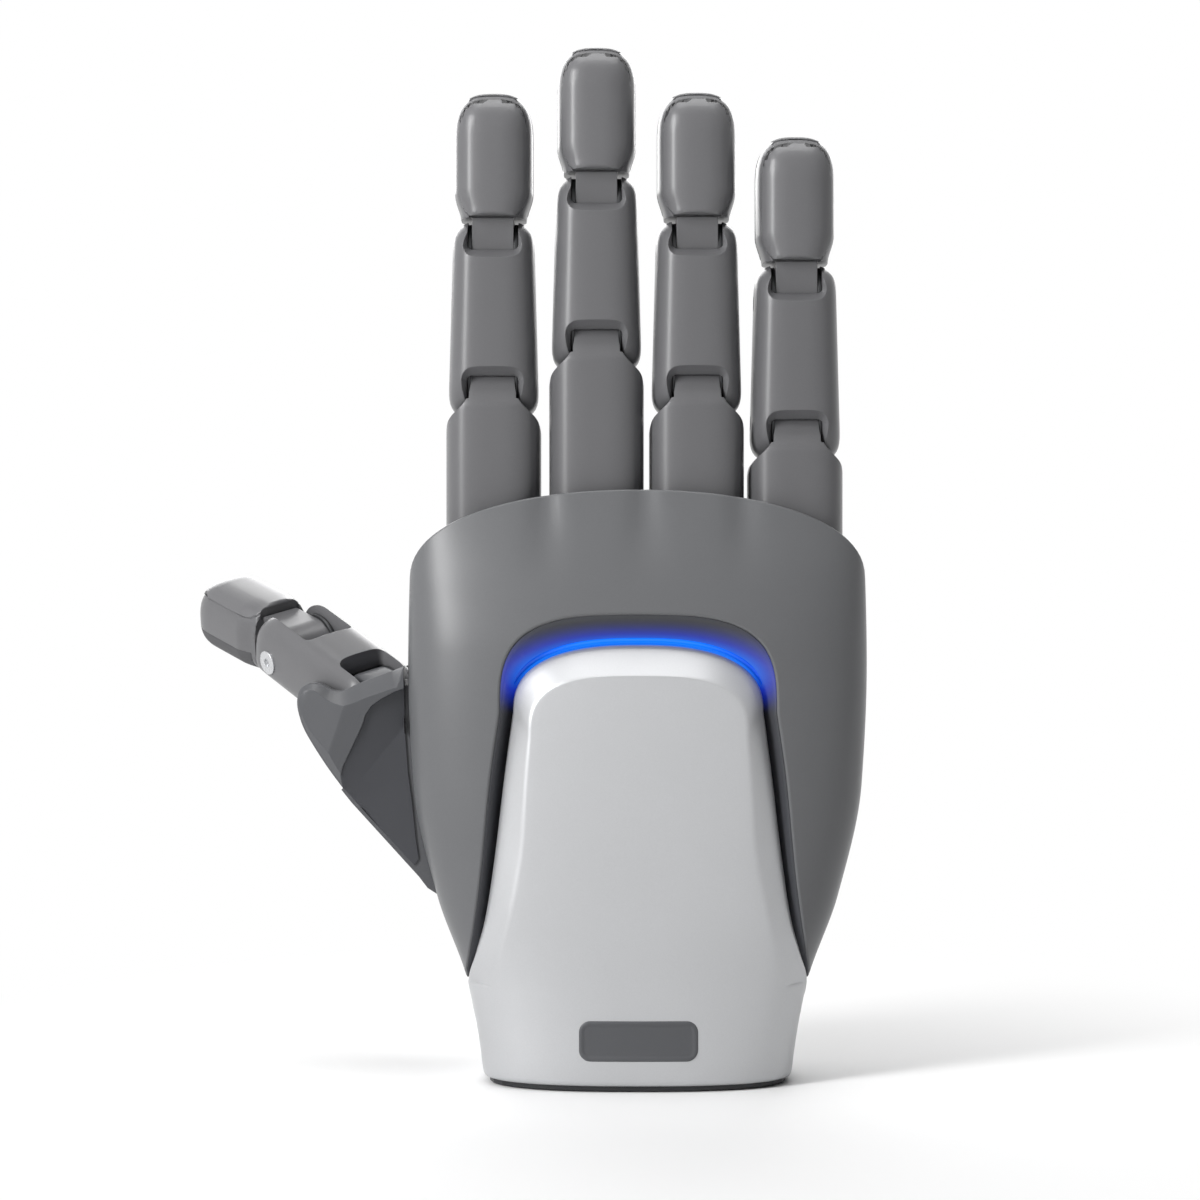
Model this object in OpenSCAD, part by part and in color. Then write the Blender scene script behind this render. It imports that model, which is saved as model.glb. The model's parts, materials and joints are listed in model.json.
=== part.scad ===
// Dexterous robot hand: a right hand standing on its wrist flange, fingers up.
// +Z runs from the wrist to the fingertips, -Y is the back of the hand, the thumb is at -X.
// The origin is the centre of the wrist mounting face. All lengths are in millimetres.

/* [Fingers] */
// Distance from the knuckle pivot to the middle joint pivot
proximal_len = 38.1; // [36:0.1:42]
// Distance between the middle joint and end joint pivots
middle_len = 22.2; // [22:0.1:26]
// Distance from the end joint pivot to the fingertip
distal_len = 30.7; // [28:0.1:34]
// Width of the lowest finger link
proximal_w = 17.5; // [17:0.1:17.6]
// Width of the middle link at its lower end
middle_w = 16.4; // [15.6:0.1:16.6]
// Width of the end link
distal_w = 14.4; // [13.6:0.1:15]
// Depth of the finger on the back side of its pivots
back_depth = 9; // [8.6:0.1:9.2]
// Depth of the finger on the palm side of its pivots
front_depth = 5; // [4.6:0.1:5.4]

/* [Hinges] */
// Radius of the finger hinge pins
pin_r = 1.5; // [1.2:0.1:1.8]
// Radial clearance where a link turns on its pin
pin_fit = 0.05; // [0.02:0.01:0.1]
// Width of the fork openings in the middle link
fork_w = 9.25; // [9:0.05:9.6]
// Width of the necks that turn in the forks
neck_w = 8; // [7.6:0.1:8.2]
// Radius of a neck round its pivot
neck_r = 6.2; // [5.8:0.1:6.4]
// Radius of a fork ear round its pivot
ear_r = 7; // [6.6:0.1:7.2]

/* [Hand body] */
// Height of the top edge of the back cover
cover_top = 107.7; // [106:0.1:110]
// Wall of the covers
wall = 2; // [1.6:0.1:2.4]
// Height of the silver tongue
tongue_top = 79.4; // [76:0.1:80]
// Height of the arch recess round the tongue
arch_top = 84.9; // [84:0.1:86]

/* [Wrist] */
// Half width of the wrist
wrist_hw = 28; // [27:0.1:29]
// Half depth of the wrist
wrist_hd = 20; // [19:0.1:21]
// Radius of the cable bore through the flange
cable_bore_r = 6; // [5:0.1:7]
// Radius of the four mounting holes
mount_hole_r = 2.1; // [1.6:0.1:2.2]
// Spacing of the mounting holes along X
mount_dx = 36; // [34:0.5:37]
// Spacing of the mounting holes along Y
mount_dy = 18; // [16:0.5:19]

/* [Hidden] */
$fn = 48;
big = 300;

// Colours
dark = [0.22, 0.22, 0.23];
mid_grey = [0.27, 0.27, 0.28];
silver = [0.72, 0.73, 0.74];
steel = [0.6, 0.61, 0.63];
rubber = [0.16, 0.16, 0.17];
blue = [0.1, 0.45, 0.9];
green = [0.08, 0.3, 0.16];

// Knuckle pivots of the four fingers, in the hand frame
pivot_y = 1.5;
index_at = [-26.5, pivot_y, 90.1];
middle_at = [-7.5, pivot_y, 98.6];
ring_at = [11, pivot_y, 90.3];
pinky_at = [29.2, pivot_y, 82.1];
finger_pivots = [index_at, middle_at, ring_at, pinky_at];

// Spread pivot below each knuckle pivot
spread_drop = 11;

// Thumb: vertical roll axis, swing pivot on it, knuckle pivot and link attitude
roll_x = -29;
roll_y = 8;
swing_z = 44;
thumb_mcp = [-49.4, 5.7, 67.7];
thumb_turn = [-64.8, -13.9, 37.5];
thumb_link_len = 23.5;
thumb_bend = 8;
// Angle of the metacarpal from vertical, from its two pivots
meta_tilt = atan2(roll_x - thumb_mcp[0], thumb_mcp[2] - swing_z);

// ---------------------------------------------------------------- helpers

// Signed power, for superellipse outlines
function spow(c, p) = sign(c) * pow(abs(c), p);

// Smooth step from a to b as t goes from 0 to 1
function blend(a, b, t) = let (u = min(1, max(0, t))) a + (b - a) * u * u * (3 - 2 * u);

// Superellipse ring at height z: half width hw, back depth yd, palm depth yp about y = yc
function ring(hw, yd, yp, z, e = 3, yc = 0, n = 20) = [
  for (i = [0:n - 1])
    let (a = 360 * (i + 0.5) / n, s = sin(a))
      [hw * spow(cos(a), 2 / e), yc + (s > 0 ? yp : yd) * spow(s, 2 / e), z]
];

// Solid through a stack of rings with equal point counts
module loft(rings) {
  n = len(rings[0]);
  m = len(rings);
  sides = [
    for (k = [0:m - 2], i = [0:n - 1])
      let (a = k * n + i, b = k * n + (i + 1) % n)
        each [[a, a + n, b + n], [a, b + n, b]]
  ];
  polyhedron(
    points = [for (r = rings) each r],
    faces = concat([[for (i = [0:n - 1]) i]], [[for (i = [n - 1:-1:0]) (m - 1) * n + i]], sides)
  );
}

// Cylinder along X or Y, centred on the origin
module rod_x(r, l) rotate([0, 90, 0]) cylinder(r = r, h = l, center = true);
module rod_y(r, l) rotate([90, 0, 0]) cylinder(r = r, h = l, center = true);

// Box from its low corner to its high corner
module span(lo, hi) translate(lo) cube(hi - lo);

// Front outline extruded through the whole depth between y0 and y1
module front_prism(points, y0, y1)
  translate([0, y1, 0]) rotate([90, 0, 0]) linear_extrude(y1 - y0) polygon(points);

// ---------------------------------------------------------------- finger links
// Each link is drawn upright with its lower pivot at the origin, back face toward -Y.

// Lowest link: ears round the knuckle below, shoulders and a neck above
shoulder_z = proximal_len - 15.1;
neck_z = proximal_len - ear_r - 0.6;
module proximal_body(hw) {
  levels = [4, 14, shoulder_z, shoulder_z + 2, shoulder_z + 3.8, shoulder_z + 5.6, neck_z];
  loft([for (z = levels)
    let (t = (z - shoulder_z) / (neck_z - shoulder_z))
      ring(blend(hw, neck_w / 2, t), blend(back_depth, back_depth - 1.6, t), front_depth, z, 3.4)]);
}

module proximal_link() {
  hw = proximal_w / 2;
  plate_in = hw - 1.45;
  color(dark) difference() {
    union() {
      proximal_body(hw);
      translate([0, 0, proximal_len]) rod_x(neck_r, neck_w);
      span([-neck_w / 2, -neck_r, neck_z - 1], [neck_w / 2, front_depth - 0.6, proximal_len]);
      for (s = [-1, 1]) translate([s * (hw + plate_in) / 2, 0, 0]) {
        rod_x(6.5, hw - plate_in);
        span([(plate_in - hw) / 2, -6.5, 0], [(hw - plate_in) / 2, front_depth - 1.2, 12]);
      }
    }
    rod_x(7.1, 2 * plate_in);
    span([-plate_in, 0, -8], [plate_in, 8, 7.1]);
    rod_x(pin_r + pin_fit, big);
    translate([0, 0, proximal_len]) rod_x(pin_r + pin_fit, big);
  }
}

// Opening of a fork whose pivot is at the origin and whose mouth points down
module fork_cut(back_edge, reach) {
  rod_x(neck_r + 0.6, fork_w);
  span([-fork_w / 2, -20, -20], [fork_w / 2, 20, back_edge]);
  span([-fork_w / 2, 0, -20], [fork_w / 2, 20, reach]);
}

// Middle link: a fork at each end
module double_fork(len, hw_low, hw_high, cut_low, cut_high) {
  top = len + ear_r - 0.3;
  levels = [-ear_r, -ear_r + 0.7, -ear_r + 2.4, 0, len, top - 2.4, top - 0.7, top];
  function half_w(z) = hw_low + (hw_high - hw_low) * z / len;
  function pull(z) = max(0, -z / ear_r, (z - len) / (top - len));
  color(dark) difference() {
    loft([for (z = levels)
      let (u = min(1, pull(z)), k = sqrt(1 - 0.86 * u * u), w = 1 - 0.3 * pow(u, 5))
        ring(half_w(z) * w, back_depth * k, min(front_depth, ear_r * sqrt(1.0001 - u * u) + 0.3), z, 3.4)]);
    fork_cut(-cut_low, 5.8);
    translate([0, 0, len]) mirror([0, 0, 1]) fork_cut(-cut_high, 5.8);
    rod_x(pin_r, big);
    translate([0, 0, len]) rod_x(pin_r, big);
    span([-5.2, front_depth - 1, 6.8], [5.2, 20, len - 6.8]);
  }
}

module middle_link() double_fork(middle_len, middle_w / 2, middle_w / 2 - 0.6, 1, 1.1);

// Soft pad let into the palm face of the middle link
module link_pad(len) color(rubber) hull() {
  span([-5.2, front_depth - 1, 6.8], [5.2, front_depth - 0.1, len - 6.8]);
  span([-4.4, front_depth - 1, 7.6], [4.4, front_depth + 0.6, len - 7.6]);
}

// End link envelope, grown by g
tip_z = 22;
module distal_body(len, g = 0) {
  crown_h = len - tip_z;
  levels = concat([7.2, 9, 12], [for (t = [0, 0.4, 0.65, 0.85, 0.98]) tip_z + crown_h * t]);
  loft([for (z = levels)
    let (
      u = max(0, (z - tip_z) / crown_h),
      kw = pow(1 - pow(u, 2.7), 1 / 2.7),
      kd = pow(1 - pow(u, 2.2), 1 / 2.2),
      flare = blend(0.84, 1, (z - 7.2) / 5)
    )
      ring((distal_w / 2) * kw * flare + g, (back_depth - 0.9) * kd + g, (front_depth + 0.7) * kd + g,
        z + g, 2.9)]);
}

// Front outline of the plate on the back of the end link
module nail_outline(len, g = 0)
  offset(delta = g) polygon([[-4.2, 7.2], [4.2, 7.2], [6.1, 10.2], [6.3, 15], [6.1, tip_z + 1],
    [5.2, len - 2.4], [3.6, len - 0.9], [-3.6, len - 0.9], [-5.2, len - 2.4], [-6.1, tip_z + 1],
    [-6.3, 15], [-6.1, 10.2]]);

module nail_prism(len, y1, g = 0)
  translate([0, y1, 0]) rotate([90, 0, 0]) linear_extrude(20) nail_outline(len, g);

// Palm side and tip strip of the end link, taken by the soft pad round the bony core
module pad_zone(len) difference() {
  union() {
    span([-20, 1.2, 8.4], [20, 20, len + 5]);
    span([-3.9, -3.6, tip_z], [3.9, 20, len + 5]);
  }
  span([-5, -20, 0], [5, 3.4, len - 4]);
}

module distal_link(len = distal_len) color(dark) difference() {
  union() {
    distal_body(len);
    rod_x(neck_r - 0.1, neck_w - 0.4);
    span([-neck_w / 2 + 0.2, -neck_r + 0.1, 0], [neck_w / 2 - 0.2, front_depth - 0.8, 8]);
  }
  nail_prism(len, -5.6, 0.03);
  pad_zone(len);
  rod_x(pin_r + pin_fit, big);
}

module nail_plate(len = distal_len) color(mid_grey) difference() {
  intersection() {
    distal_body(len, 0.25);
    nail_prism(len, -5.6);
  }
  pad_zone(len);
}

module fingertip_pad(len = distal_len) color(rubber) intersection() {
  distal_body(len, 0.1);
  pad_zone(len);
}

// Two hinge pins held by the middle link
module hinge_pins() color(steel) for (z = [0, middle_len])
  translate([0, 0, z]) rod_x(pin_r, middle_w - 1.8);

// Knuckle: drum for the lowest link on a stem that turns on the spread pin
module knuckle() color(mid_grey) difference() {
  union() {
    rod_x(6.6, proximal_w - 3.7);
    span([-5, -4, -spread_drop], [5, 4, 0]);
    translate([0, 0, -spread_drop]) rod_y(4, 8);
  }
  rod_x(pin_r, big);
  translate([0, 0, -spread_drop]) rod_y(pin_r + pin_fit, big);
}

module mcp_pin() color(steel) rod_x(pin_r, proximal_w - 0.3);

// ---------------------------------------------------------------- hand body

// Half width, back depth and palm depth of the hand against height
body_hw = [[0, wrist_hw], [7, 28.9], [17.8, 31], [33.5, 36.6], [54, 41.1], [76, 42.2], [91, 41.8], [108, 39.5]];
body_back = [[0, 15], [10, 15], [60, 14.8], [78, 14.2], [90, 12], [100, 8.5], [108, 5.5]];
body_palm = [[0, 25], [10, 25], [34, 22], [60, 20.5], [84, 19.5], [94, 17], [108, 12]];
body_levels = [18, 26, 34, 44, 54, 66, 78, 86, 92, 98, 103];
// The widest line of the hand lies this far to the back of the origin
seam_y = -5;

module hand_body(g = 0, z0 = 0, z1 = 108) {
  levels = concat([z0], [for (z = body_levels) if (z > z0 + 1 && z < z1 - 1) z], [z1]);
  loft([for (z = levels)
    ring(lookup(z, body_hw) - g, lookup(z, body_back) - g, lookup(z, body_palm) - g, z, 2.5, seam_y, 32)]);
}

// Half outline points mirrored into a closed outline, from the bottom up
function mirrored(half) = concat(half,
  [for (i = [len(half) - 1:-1:0]) if (half[i][0] > 0) [-half[i][0], half[i][1]]]);

// Superellipse corner from (a, z0) up to (0, z0 + b)
function crown(a, b, z0, e, n = 10) =
  [for (i = [0:n]) let (t = 90 * i / n) [a * pow(cos(t), 2 / e), z0 + b * pow(sin(t), 2 / e)]];

function cover_outline(g = 0) =
  mirrored(concat([[45, 10], [45, 60], [42.6 - g, 84]], crown(41.6 - g, cover_top - g - 91, 91, 2.15)));

function arch_outline(g = 0) = mirrored(concat(
  [[33.5 + g, 5], [31 + g, 20], [28.4 + g, 37.2], [26.4 + g, 56.4]],
  crown(24.8 + g, arch_top - 67.4 + g, 67.4, 3.2)));

function tongue_outline(g = 0) = mirrored(concat(
  [[30.9 + g, 17.8], [27.6 + g, 29.8], [25.5 + g, 43.6], [24.1 + g, 55.4]],
  crown(22.5 + g, tongue_top - 67.5 + g, 67.5, 2.5)));

// An outline as a ring at depth y
function at_depth(outline, y) = [for (p = outline) [p[0], y, p[1]]];

// Depth of the back of the hand at (x, z), moved outward by g
function back_y(x, z, g = 0) = let (u = min(0.98, abs(x) / (lookup(z, body_hw) + g)))
  seam_y - (lookup(z, body_back) + g) * pow(1 - pow(u, 2.5), 0.4);

// Half widths of the tongue and of its panel against height, below their rounded tops
tongue_hw = [[15, 29], [18.4, 30.2], [24, 28.9], [29.8, 27.6], [43.6, 25.5], [55.4, 24.1], [67.5, 22.5]];
panel_hw = [[15, 26.4], [18.4, 26.2], [24, 24.8], [29.8, 23.4], [43.6, 20.8], [55.4, 20.1], [63, 19.5]];
// How far the panel stands proud of the hand, and how far the bevel drops to its edge
panel_rise = [[15, -0.4], [18.4, -0.4], [32, 0.5], [70, 0.7]];
bevel_drop = [[15, 0.1], [18.4, 0.3], [32, 1.4], [66, 2.4], [79.4, 3.4]];
panel_top = 74;
tongue_levels = [15, 18.4, 24, 29.8, 36, 43.6, 55.4, 63, 67.5, 71, 74, 76, 77.4, 78.4, 79];

// Half width of a rounded top: full up to z0, closing at z1
function top_hw(z, hw, z0, z1, e) =
  z <= z0 ? hw : hw * pow(max(0, 1 - pow((z - z0) / (z1 - z0), e)), 1 / e);

// How far a point lies from inside a rounded top (0) to outside it (1 and more)
function top_reach(x, z, hw, z0, z1, e) =
  z <= z0 ? abs(x) / hw : pow(pow(abs(x) / hw, e) + pow((z - z0) / (z1 - z0), e), 1 / e);

// 0 on the panel, rising to 1 at the edge of the tongue
function bevel_at(x, z) = let (
    inner = top_reach(x, z, lookup(z, panel_hw), 63, panel_top, 3),
    outer = top_reach(x, z, lookup(z, tongue_hw), 67.5, tongue_top, 2.5))
  inner <= 1 ? 0 : (inner - 1) / (inner - 1 + max(0, 1 - outer));

// Tongue solid, shrunk by g all round
skirt_y = -7.5;
tongue_steps = [-1, -0.96, -0.91, -0.86, -0.8, -0.6, -0.4, -0.2, 0, 0.2, 0.4, 0.6, 0.8, 0.86, 0.91, 0.96, 1];
module tongue(g = 0) loft([for (level = tongue_levels)
  let (z = level - (level > 60 ? g : 0),
    hw = top_hw(level, lookup(level, tongue_hw), 67.5, tongue_top, 2.5) - g)
    concat([[-hw, skirt_y + 2 * g, z]],
      [for (t = tongue_steps) let (x = t * hw)
        [x, min(skirt_y - 0.5 + 2 * g, back_y(x, z, lookup(level, panel_rise) - g)
          + lookup(level, bevel_drop) * bevel_at(t * (hw + g), level)), z]],
      [[hw, skirt_y + 2 * g, z]])]);

sleeve_top = 18.4;
sleeve_z0 = 0.9;
module wrist_housing() color(silver) difference() {
  union() {
    hand_body(0, sleeve_z0, sleeve_top);
    tongue();
  }
  hand_body(wall, 0.5, sleeve_top - wall);
  tongue(wall);
  hand_body(wall + 2, sleeve_top - wall - 1, sleeve_top + 1);
  number_plate_prism(0.1, 1.2);
}

plate_w = 21.4;
plate_h = 7.4;
plate_z = 9;
module number_plate_prism(g, depth) 
  translate([0, depth - wrist_hd, plate_z]) rotate([90, 0, 0]) linear_extrude(depth + 2)
    offset(r = 2) square([plate_w - 4 + 2 * g, plate_h - 4 + 2 * g], center = true);

module number_plate() color(dark) intersection() {
  number_plate_prism(0, 1.2);
  hand_body(0.15, 0.5, sleeve_top);
}

module dorsal_cover() color(dark) {
  difference() {
    intersection() {
      hand_body(0, 12);
      front_prism(cover_outline(), -40, seam_y);
    }
    difference() {
      hand_body(wall, 10, 109);
    }
    front_prism(arch_outline(), -40, 20);
    span([34, -7.5, 84], [60, 0, 120]);
  }
}

// Sloping wall of the recess, from the edge of the back cover down to the tongue
bezel_floor = -12.6;
bezel_back = -9.8;
arch_hw = [[20, 31], [37.2, 28.4], [56.4, 26.4], [67.4, 24.8]];
bezel_levels = [37.2, 46, 56.4, 67.4, 73, 77, 80, 82, 83.4];

// Block under the opening of the back cover, from z0 up, grown by g and raised to rise
module arch_block(g, rise, z0) loft([for (z = concat([z0], bezel_levels, [84.3 + g]))
  let (hw = top_hw(z, lookup(z, arch_hw) + g, 67.4, arch_top + g, 3.2))
    concat([[-hw, bezel_back, z]],
      [for (t = [-1:0.2:1]) [t * hw, min(bezel_back - 0.5, back_y(t * hw, z, rise)), z]],
      [[hw, bezel_back, z]])]);

module arch_bezel() color(dark) difference() {
  union() {
    arch_block(-0.05, 0.35, 34);
    arch_block(1.2, -wall - 0.3, 34.6);
  }
  front_prism(tongue_outline(0.4), -30, 0);
  loft([at_depth(tongue_outline(0.5), bezel_floor), at_depth(arch_outline(-0.6), -17.6),
    at_depth(arch_outline(-0.6), -30)]);
  intersection() {
    front_prism(tongue_outline(1.55), -30, bezel_floor + 0.1);
    span([-24.1, -30, 69.9], [24.1, 0, 90]);
  }
}

// Light strip on the foot of the recess wall, over the top of the arch
module status_light() color(blue) difference() {
  intersection() {
    front_prism(tongue_outline(1.5), bezel_floor - 0.8, bezel_floor + 0.1);
    span([-24, -20, 70], [24, 0, 90]);
  }
  front_prism(tongue_outline(0.5), -20, 0);
}

// Palm side of the hand: cover, pads, screws
frame_y0 = -3;
frame_y1 = 6;
recess_x = -10;
recess_z0 = 25;
recess_z1 = 65.8;
// Top edge of the palm cover under each finger, from the index side
palm_steps = [[-17, 80], [1.7, 87], [20, 78], [45, 66.6]];

function palm_front() = concat(
  [[-45, 13], [45, 13], [45, palm_steps[3][1]], [palm_steps[2][0] + 1, palm_steps[3][1]]],
  [[palm_steps[2][0] - 1, palm_steps[2][1]], [palm_steps[1][0] + 1, palm_steps[2][1]]],
  [[palm_steps[1][0] - 1, palm_steps[1][1]], [palm_steps[0][0] + 1, palm_steps[1][1]]],
  [[palm_steps[0][0] - 1, palm_steps[0][1]], [-45, palm_steps[0][1]]]);

screw_spots = [[2, 24], [22, 28], [22, 64.5], [-4, 72]];
screw_head_y = 11.4;
pad_outline = [[-5, 39], [22, 36], [23.6, 57], [-5, 60]];
pad_floor_y = 13;

// Solid block that the thumb recess is sunk into, clear of the back cover
recess_wall = 1.5;
recess_y = -6.2;
module recess_block() {
  z0 = recess_z0 - recess_wall;
  x1 = recess_x + recess_wall;
  z1 = recess_z1 + recess_wall;
  front_prism([[x1, z0], [x1, z1], [-38.5, z1], [-38.5, 54], [-34, 33.5], [-30.4, z0]],
    recess_y - 1.2, seam_y + 1);
  span([-60, seam_y, z0], [x1, 40, z1]);
}

module palm_cover() color(dark) difference() {
  intersection() {
    hand_body(0, sleeve_top + 0.1);
    union() {
      front_prism(palm_front(), seam_y + 0.1, 40);
      intersection() {
        recess_block();
        span([-38.5, recess_y - 1.2, 0], [0, seam_y + 1, 100]);
      }
    }
  }
  difference() {
    hand_body(wall, 10, 109);
    recess_block();
    for (p = screw_spots) translate([p[0], frame_y1, p[1]]) rotate([-90, 0, 0]) cylinder(r = 3.4, h = 40);
  }
  span([-60, recess_y, recess_z0], [recess_x, 50, recess_z1]);
  span([-20, frame_y0 - 0.3, 20], [0, roll_y + bracket_hw + 0.4, 30.8]);
  span([-20, frame_y0 - 0.3, hub_z1], [0, roll_y + bracket_hw + 0.4, hub_z1 + 5]);
  span([-60, recess_y, recess_z1 - 1], [-34.2, 50, 78]);
  for (p = finger_pivots) translate(p - [0, 0, spread_drop]) {
    rod_y(4, 13.2);
    span([-4, 0, -8], [4, 6.6, 0]);
  }
  for (p = screw_spots) translate([p[0], 0, p[1]]) {
    rod_y(1.25, 60);
    translate([0, screw_head_y + 20, 0]) rod_y(2.5, 40);
  }
  front_prism(pad_outline, pad_floor_y, 40);
}

module palm_pad() color(rubber) intersection() {
  hand_body(-0.8, 20);
  front_prism(pad_outline, pad_floor_y, 40);
}

// Cap screws that hold the palm cover to the frame
module cover_screws() color(steel) for (p = screw_spots) translate([p[0], 0, p[1]]) difference() {
  union() {
    translate([0, screw_head_y + 0.9, 0]) rod_y(2.4, 1.8);
    translate([0, (screw_head_y + 1) / 2, 0]) rod_y(1.25, screw_head_y - 1);
  }
  translate([0, screw_head_y + 1.8, 0]) rotate([90, 30, 0])
    cylinder(r = 1.1, h = 2.2, center = true, $fn = 6);
}

// Metal chassis: main plate, stepped knuckle beams, clevises and thumb brackets
module frame_plate() {
  x0 = recess_x + recess_wall + 0.1;
  span([-24, frame_y0, 5], [24, frame_y1, recess_z0 - recess_wall - 0.2]);
  span([x0, frame_y0, 22], [27.4, frame_y1, 34]);
  span([x0, frame_y0, 33], [30.6, frame_y1, 55.7]);
  span([x0, frame_y0, 55], [25, frame_y1, 64]);
}

module knuckle_beam(p, x0, x1, z0) {
  top = p[2] - spread_drop - 4.4;
  span([x0, frame_y0, z0], [x1, frame_y1, top]);
  translate([p[0], p[1], p[2] - spread_drop]) for (s = [-1, 1]) {
    translate([0, s * 5.4, 0]) rod_y(3.7, 2);
    span([-3.7, s > 0 ? 4.4 : -6.4, -7.4], [3.7, s > 0 ? 6.4 : -4.4, 0]);
  }
}

bracket_hw = 3.6;
hub_z0 = 36;
hub_z1 = 58;
module thumb_brackets() {
  span([roll_x, roll_y - bracket_hw, 25.8], [recess_x + 2, roll_y + bracket_hw, 30.4]);
  span([recess_x - 2, frame_y0, 25.8], [recess_x + 2, roll_y + bracket_hw, 30.4]);
  translate([roll_x, roll_y, 25.8]) cylinder(r = 6, h = 4.6);
  translate([roll_x, roll_y, 30]) cylinder(r = 5, h = hub_z0 - 30.4);
  span([roll_x, roll_y - bracket_hw, hub_z1 + 0.4], [recess_x + 2, roll_y + bracket_hw, hub_z1 + 4.4]);
  span([recess_x - 1, frame_y0, hub_z1 + 0.4], [recess_x + 2, roll_y + bracket_hw, hub_z1 + 4.4]);
  translate([roll_x, roll_y, hub_z1 + 0.4]) cylinder(r = 5, h = 4);
}

module palm_frame() color(steel) difference() {
  union() {
    frame_plate();
    knuckle_beam(index_at, -33, -15, 67.5);
    knuckle_beam(middle_at, -16, 1, 67.5);
    span([recess_x + recess_wall + 0.1, frame_y0, 63], [1, frame_y1, 68]);
    knuckle_beam(ring_at, 0, 19, 63);
    knuckle_beam(pinky_at, 18, 34, 55);
    span([-16, frame_y0, 67.5], [1, frame_y1, 74]);
    thumb_brackets();
  }
  for (p = finger_pivots) translate(p - [0, 0, spread_drop]) rod_y(pin_r, big);
  for (p = screw_spots) translate([p[0], 0, p[1]]) rod_y(1.25, 60);
  translate([roll_x, roll_y, 0]) cylinder(r = roll_pin_r, h = 100);
  translate([0, 0, 4]) cylinder(r = cable_bore_r + 1, h = 12);
  for (sx = [-1, 1]) translate([sx * flange_screw_x, (frame_y0 + frame_y1) / 2, 0])
    cylinder(r = 1.5, h = 10.4);
}

// Spread pins of the fingers and the two roll pins of the thumb
roll_pin_r = 2.2;
module palm_pins() color(steel) {
  for (p = finger_pivots) translate(p - [0, 0, spread_drop]) rod_y(pin_r, 12.6);
  translate([roll_x, roll_y, 25.8]) cylinder(r = roll_pin_r, h = 14.2);
  translate([roll_x, roll_y, 50]) cylinder(r = roll_pin_r, h = hub_z1 + 4.4 - 50);
}

// ---------------------------------------------------------------- inside the hand

actuator_x = [-15.6, -5.2, 5.2, 15.6];
actuator_y = -11.9;
actuator_r = 4.4;
module finger_actuators() color(steel) for (x = actuator_x) translate([x, actuator_y, 0]) {
  span([-actuator_r, -3.1, 18.6], [actuator_r, frame_y0 - actuator_y, 23.2]);
  translate([0, 0, 23]) cylinder(r = actuator_r, h = 31);
  translate([0, 0, 54]) cylinder(r = 1.5, h = 9);
}

module thumb_actuator() color(steel) {
  translate([-3.6, 9.4, 33]) cylinder(r = 3, h = 20);
  span([-7.2, frame_y1, 31.2], [0, 12, 35]);
}

module control_board() {
  color(green) span([4, frame_y1 + 1, 38], [24, frame_y1 + 2.4, 60]);
  color(dark) {
    span([7, frame_y1 + 2.4, 42], [14, frame_y1 + 3.4, 49]);
    span([16, frame_y1 + 2.4, 50], [21, frame_y1 + 3.2, 57]);
  }
  color(steel) for (p = [[6, 40], [22, 58]]) translate([p[0], frame_y1 + 0.5, p[1]]) rod_y(1.2, 1);
}

// ---------------------------------------------------------------- wrist

module wrist_flange() color(dark) difference() {
  union() {
    hand_body(1, 0, sleeve_z0);
    hand_body(wall + 0.6, 0.5, 5);
  }
  translate([0, 0, -1]) cylinder(r = cable_bore_r, h = 8);
  for (sx = [-1, 1], sy = [-1, 1]) translate([sx * mount_dx / 2, sy * mount_dy / 2, -1])
    cylinder(r = mount_hole_r, h = 8);
  for (sx = [-1, 1]) translate([sx * flange_screw_x, (frame_y0 + frame_y1) / 2, -1]) {
    cylinder(r = 1.5, h = 8);
    cylinder(r = 2.9, h = 3.6);
  }
}

flange_screw_x = 12;
module flange_screws() color(steel) for (sx = [-1, 1])
  translate([sx * flange_screw_x, (frame_y0 + frame_y1) / 2, 0]) difference() {
    union() {
      translate([0, 0, 0.4]) cylinder(r = 2.75, h = 2.2);
      translate([0, 0, 2]) cylinder(r = 1.5, h = 8);
    }
    translate([0, 0, -1]) cylinder(r = 1.25, h = 2.8, $fn = 6);
  }

// ---------------------------------------------------------------- thumb

module at_thumb(z = 0) translate(thumb_mcp) rotate(thumb_turn) translate([0, 0, z]) children();
module at_thumb_tip() at_thumb(thumb_link_len) rotate([-thumb_bend, 0, 0]) children();

// Roll body: a vertical hub between the brackets, crossed by the swing pin
hub_r = 8.4;
swing_pin_r = 2;
module thumb_hub() color(mid_grey) difference() {
  translate([roll_x, roll_y, hub_z0]) cylinder(r = hub_r, h = hub_z1 - hub_z0);
  translate([roll_x, roll_y, hub_z0 - 1]) cylinder(r = roll_pin_r + pin_fit, h = 5.4);
  translate([roll_x, roll_y, 49.6]) cylinder(r = roll_pin_r + pin_fit, h = 20);
  translate([roll_x, roll_y, swing_z]) rod_y(swing_pin_r + pin_fit, 40);
}

wall_in = 9.6;
wall_out = 12.4;
module thumb_swing_pin() color(steel)
  translate([roll_x, roll_y, swing_z]) rod_y(swing_pin_r, 2 * wall_out - 0.4);

// Side outline of the metacarpal: s runs from the swing pivot to the knuckle, q across it
function meta_outline() = concat(
  [for (a = [-170:15:-80]) [13.3 * cos(a) * 0.75, 13.3 * sin(a)]],
  [[20, -13.6], [31, -13.2], [37, -11.4], [41, -8], [43, -2], [41, 6], [34, 11]],
  [[18, 9.6]],
  [for (a = [60:20:180]) [6 * cos(a), 6 * sin(a)]]);

module along_meta() translate([roll_x, roll_y, swing_z]) rotate([0, -meta_tilt, 0]) children();

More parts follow.
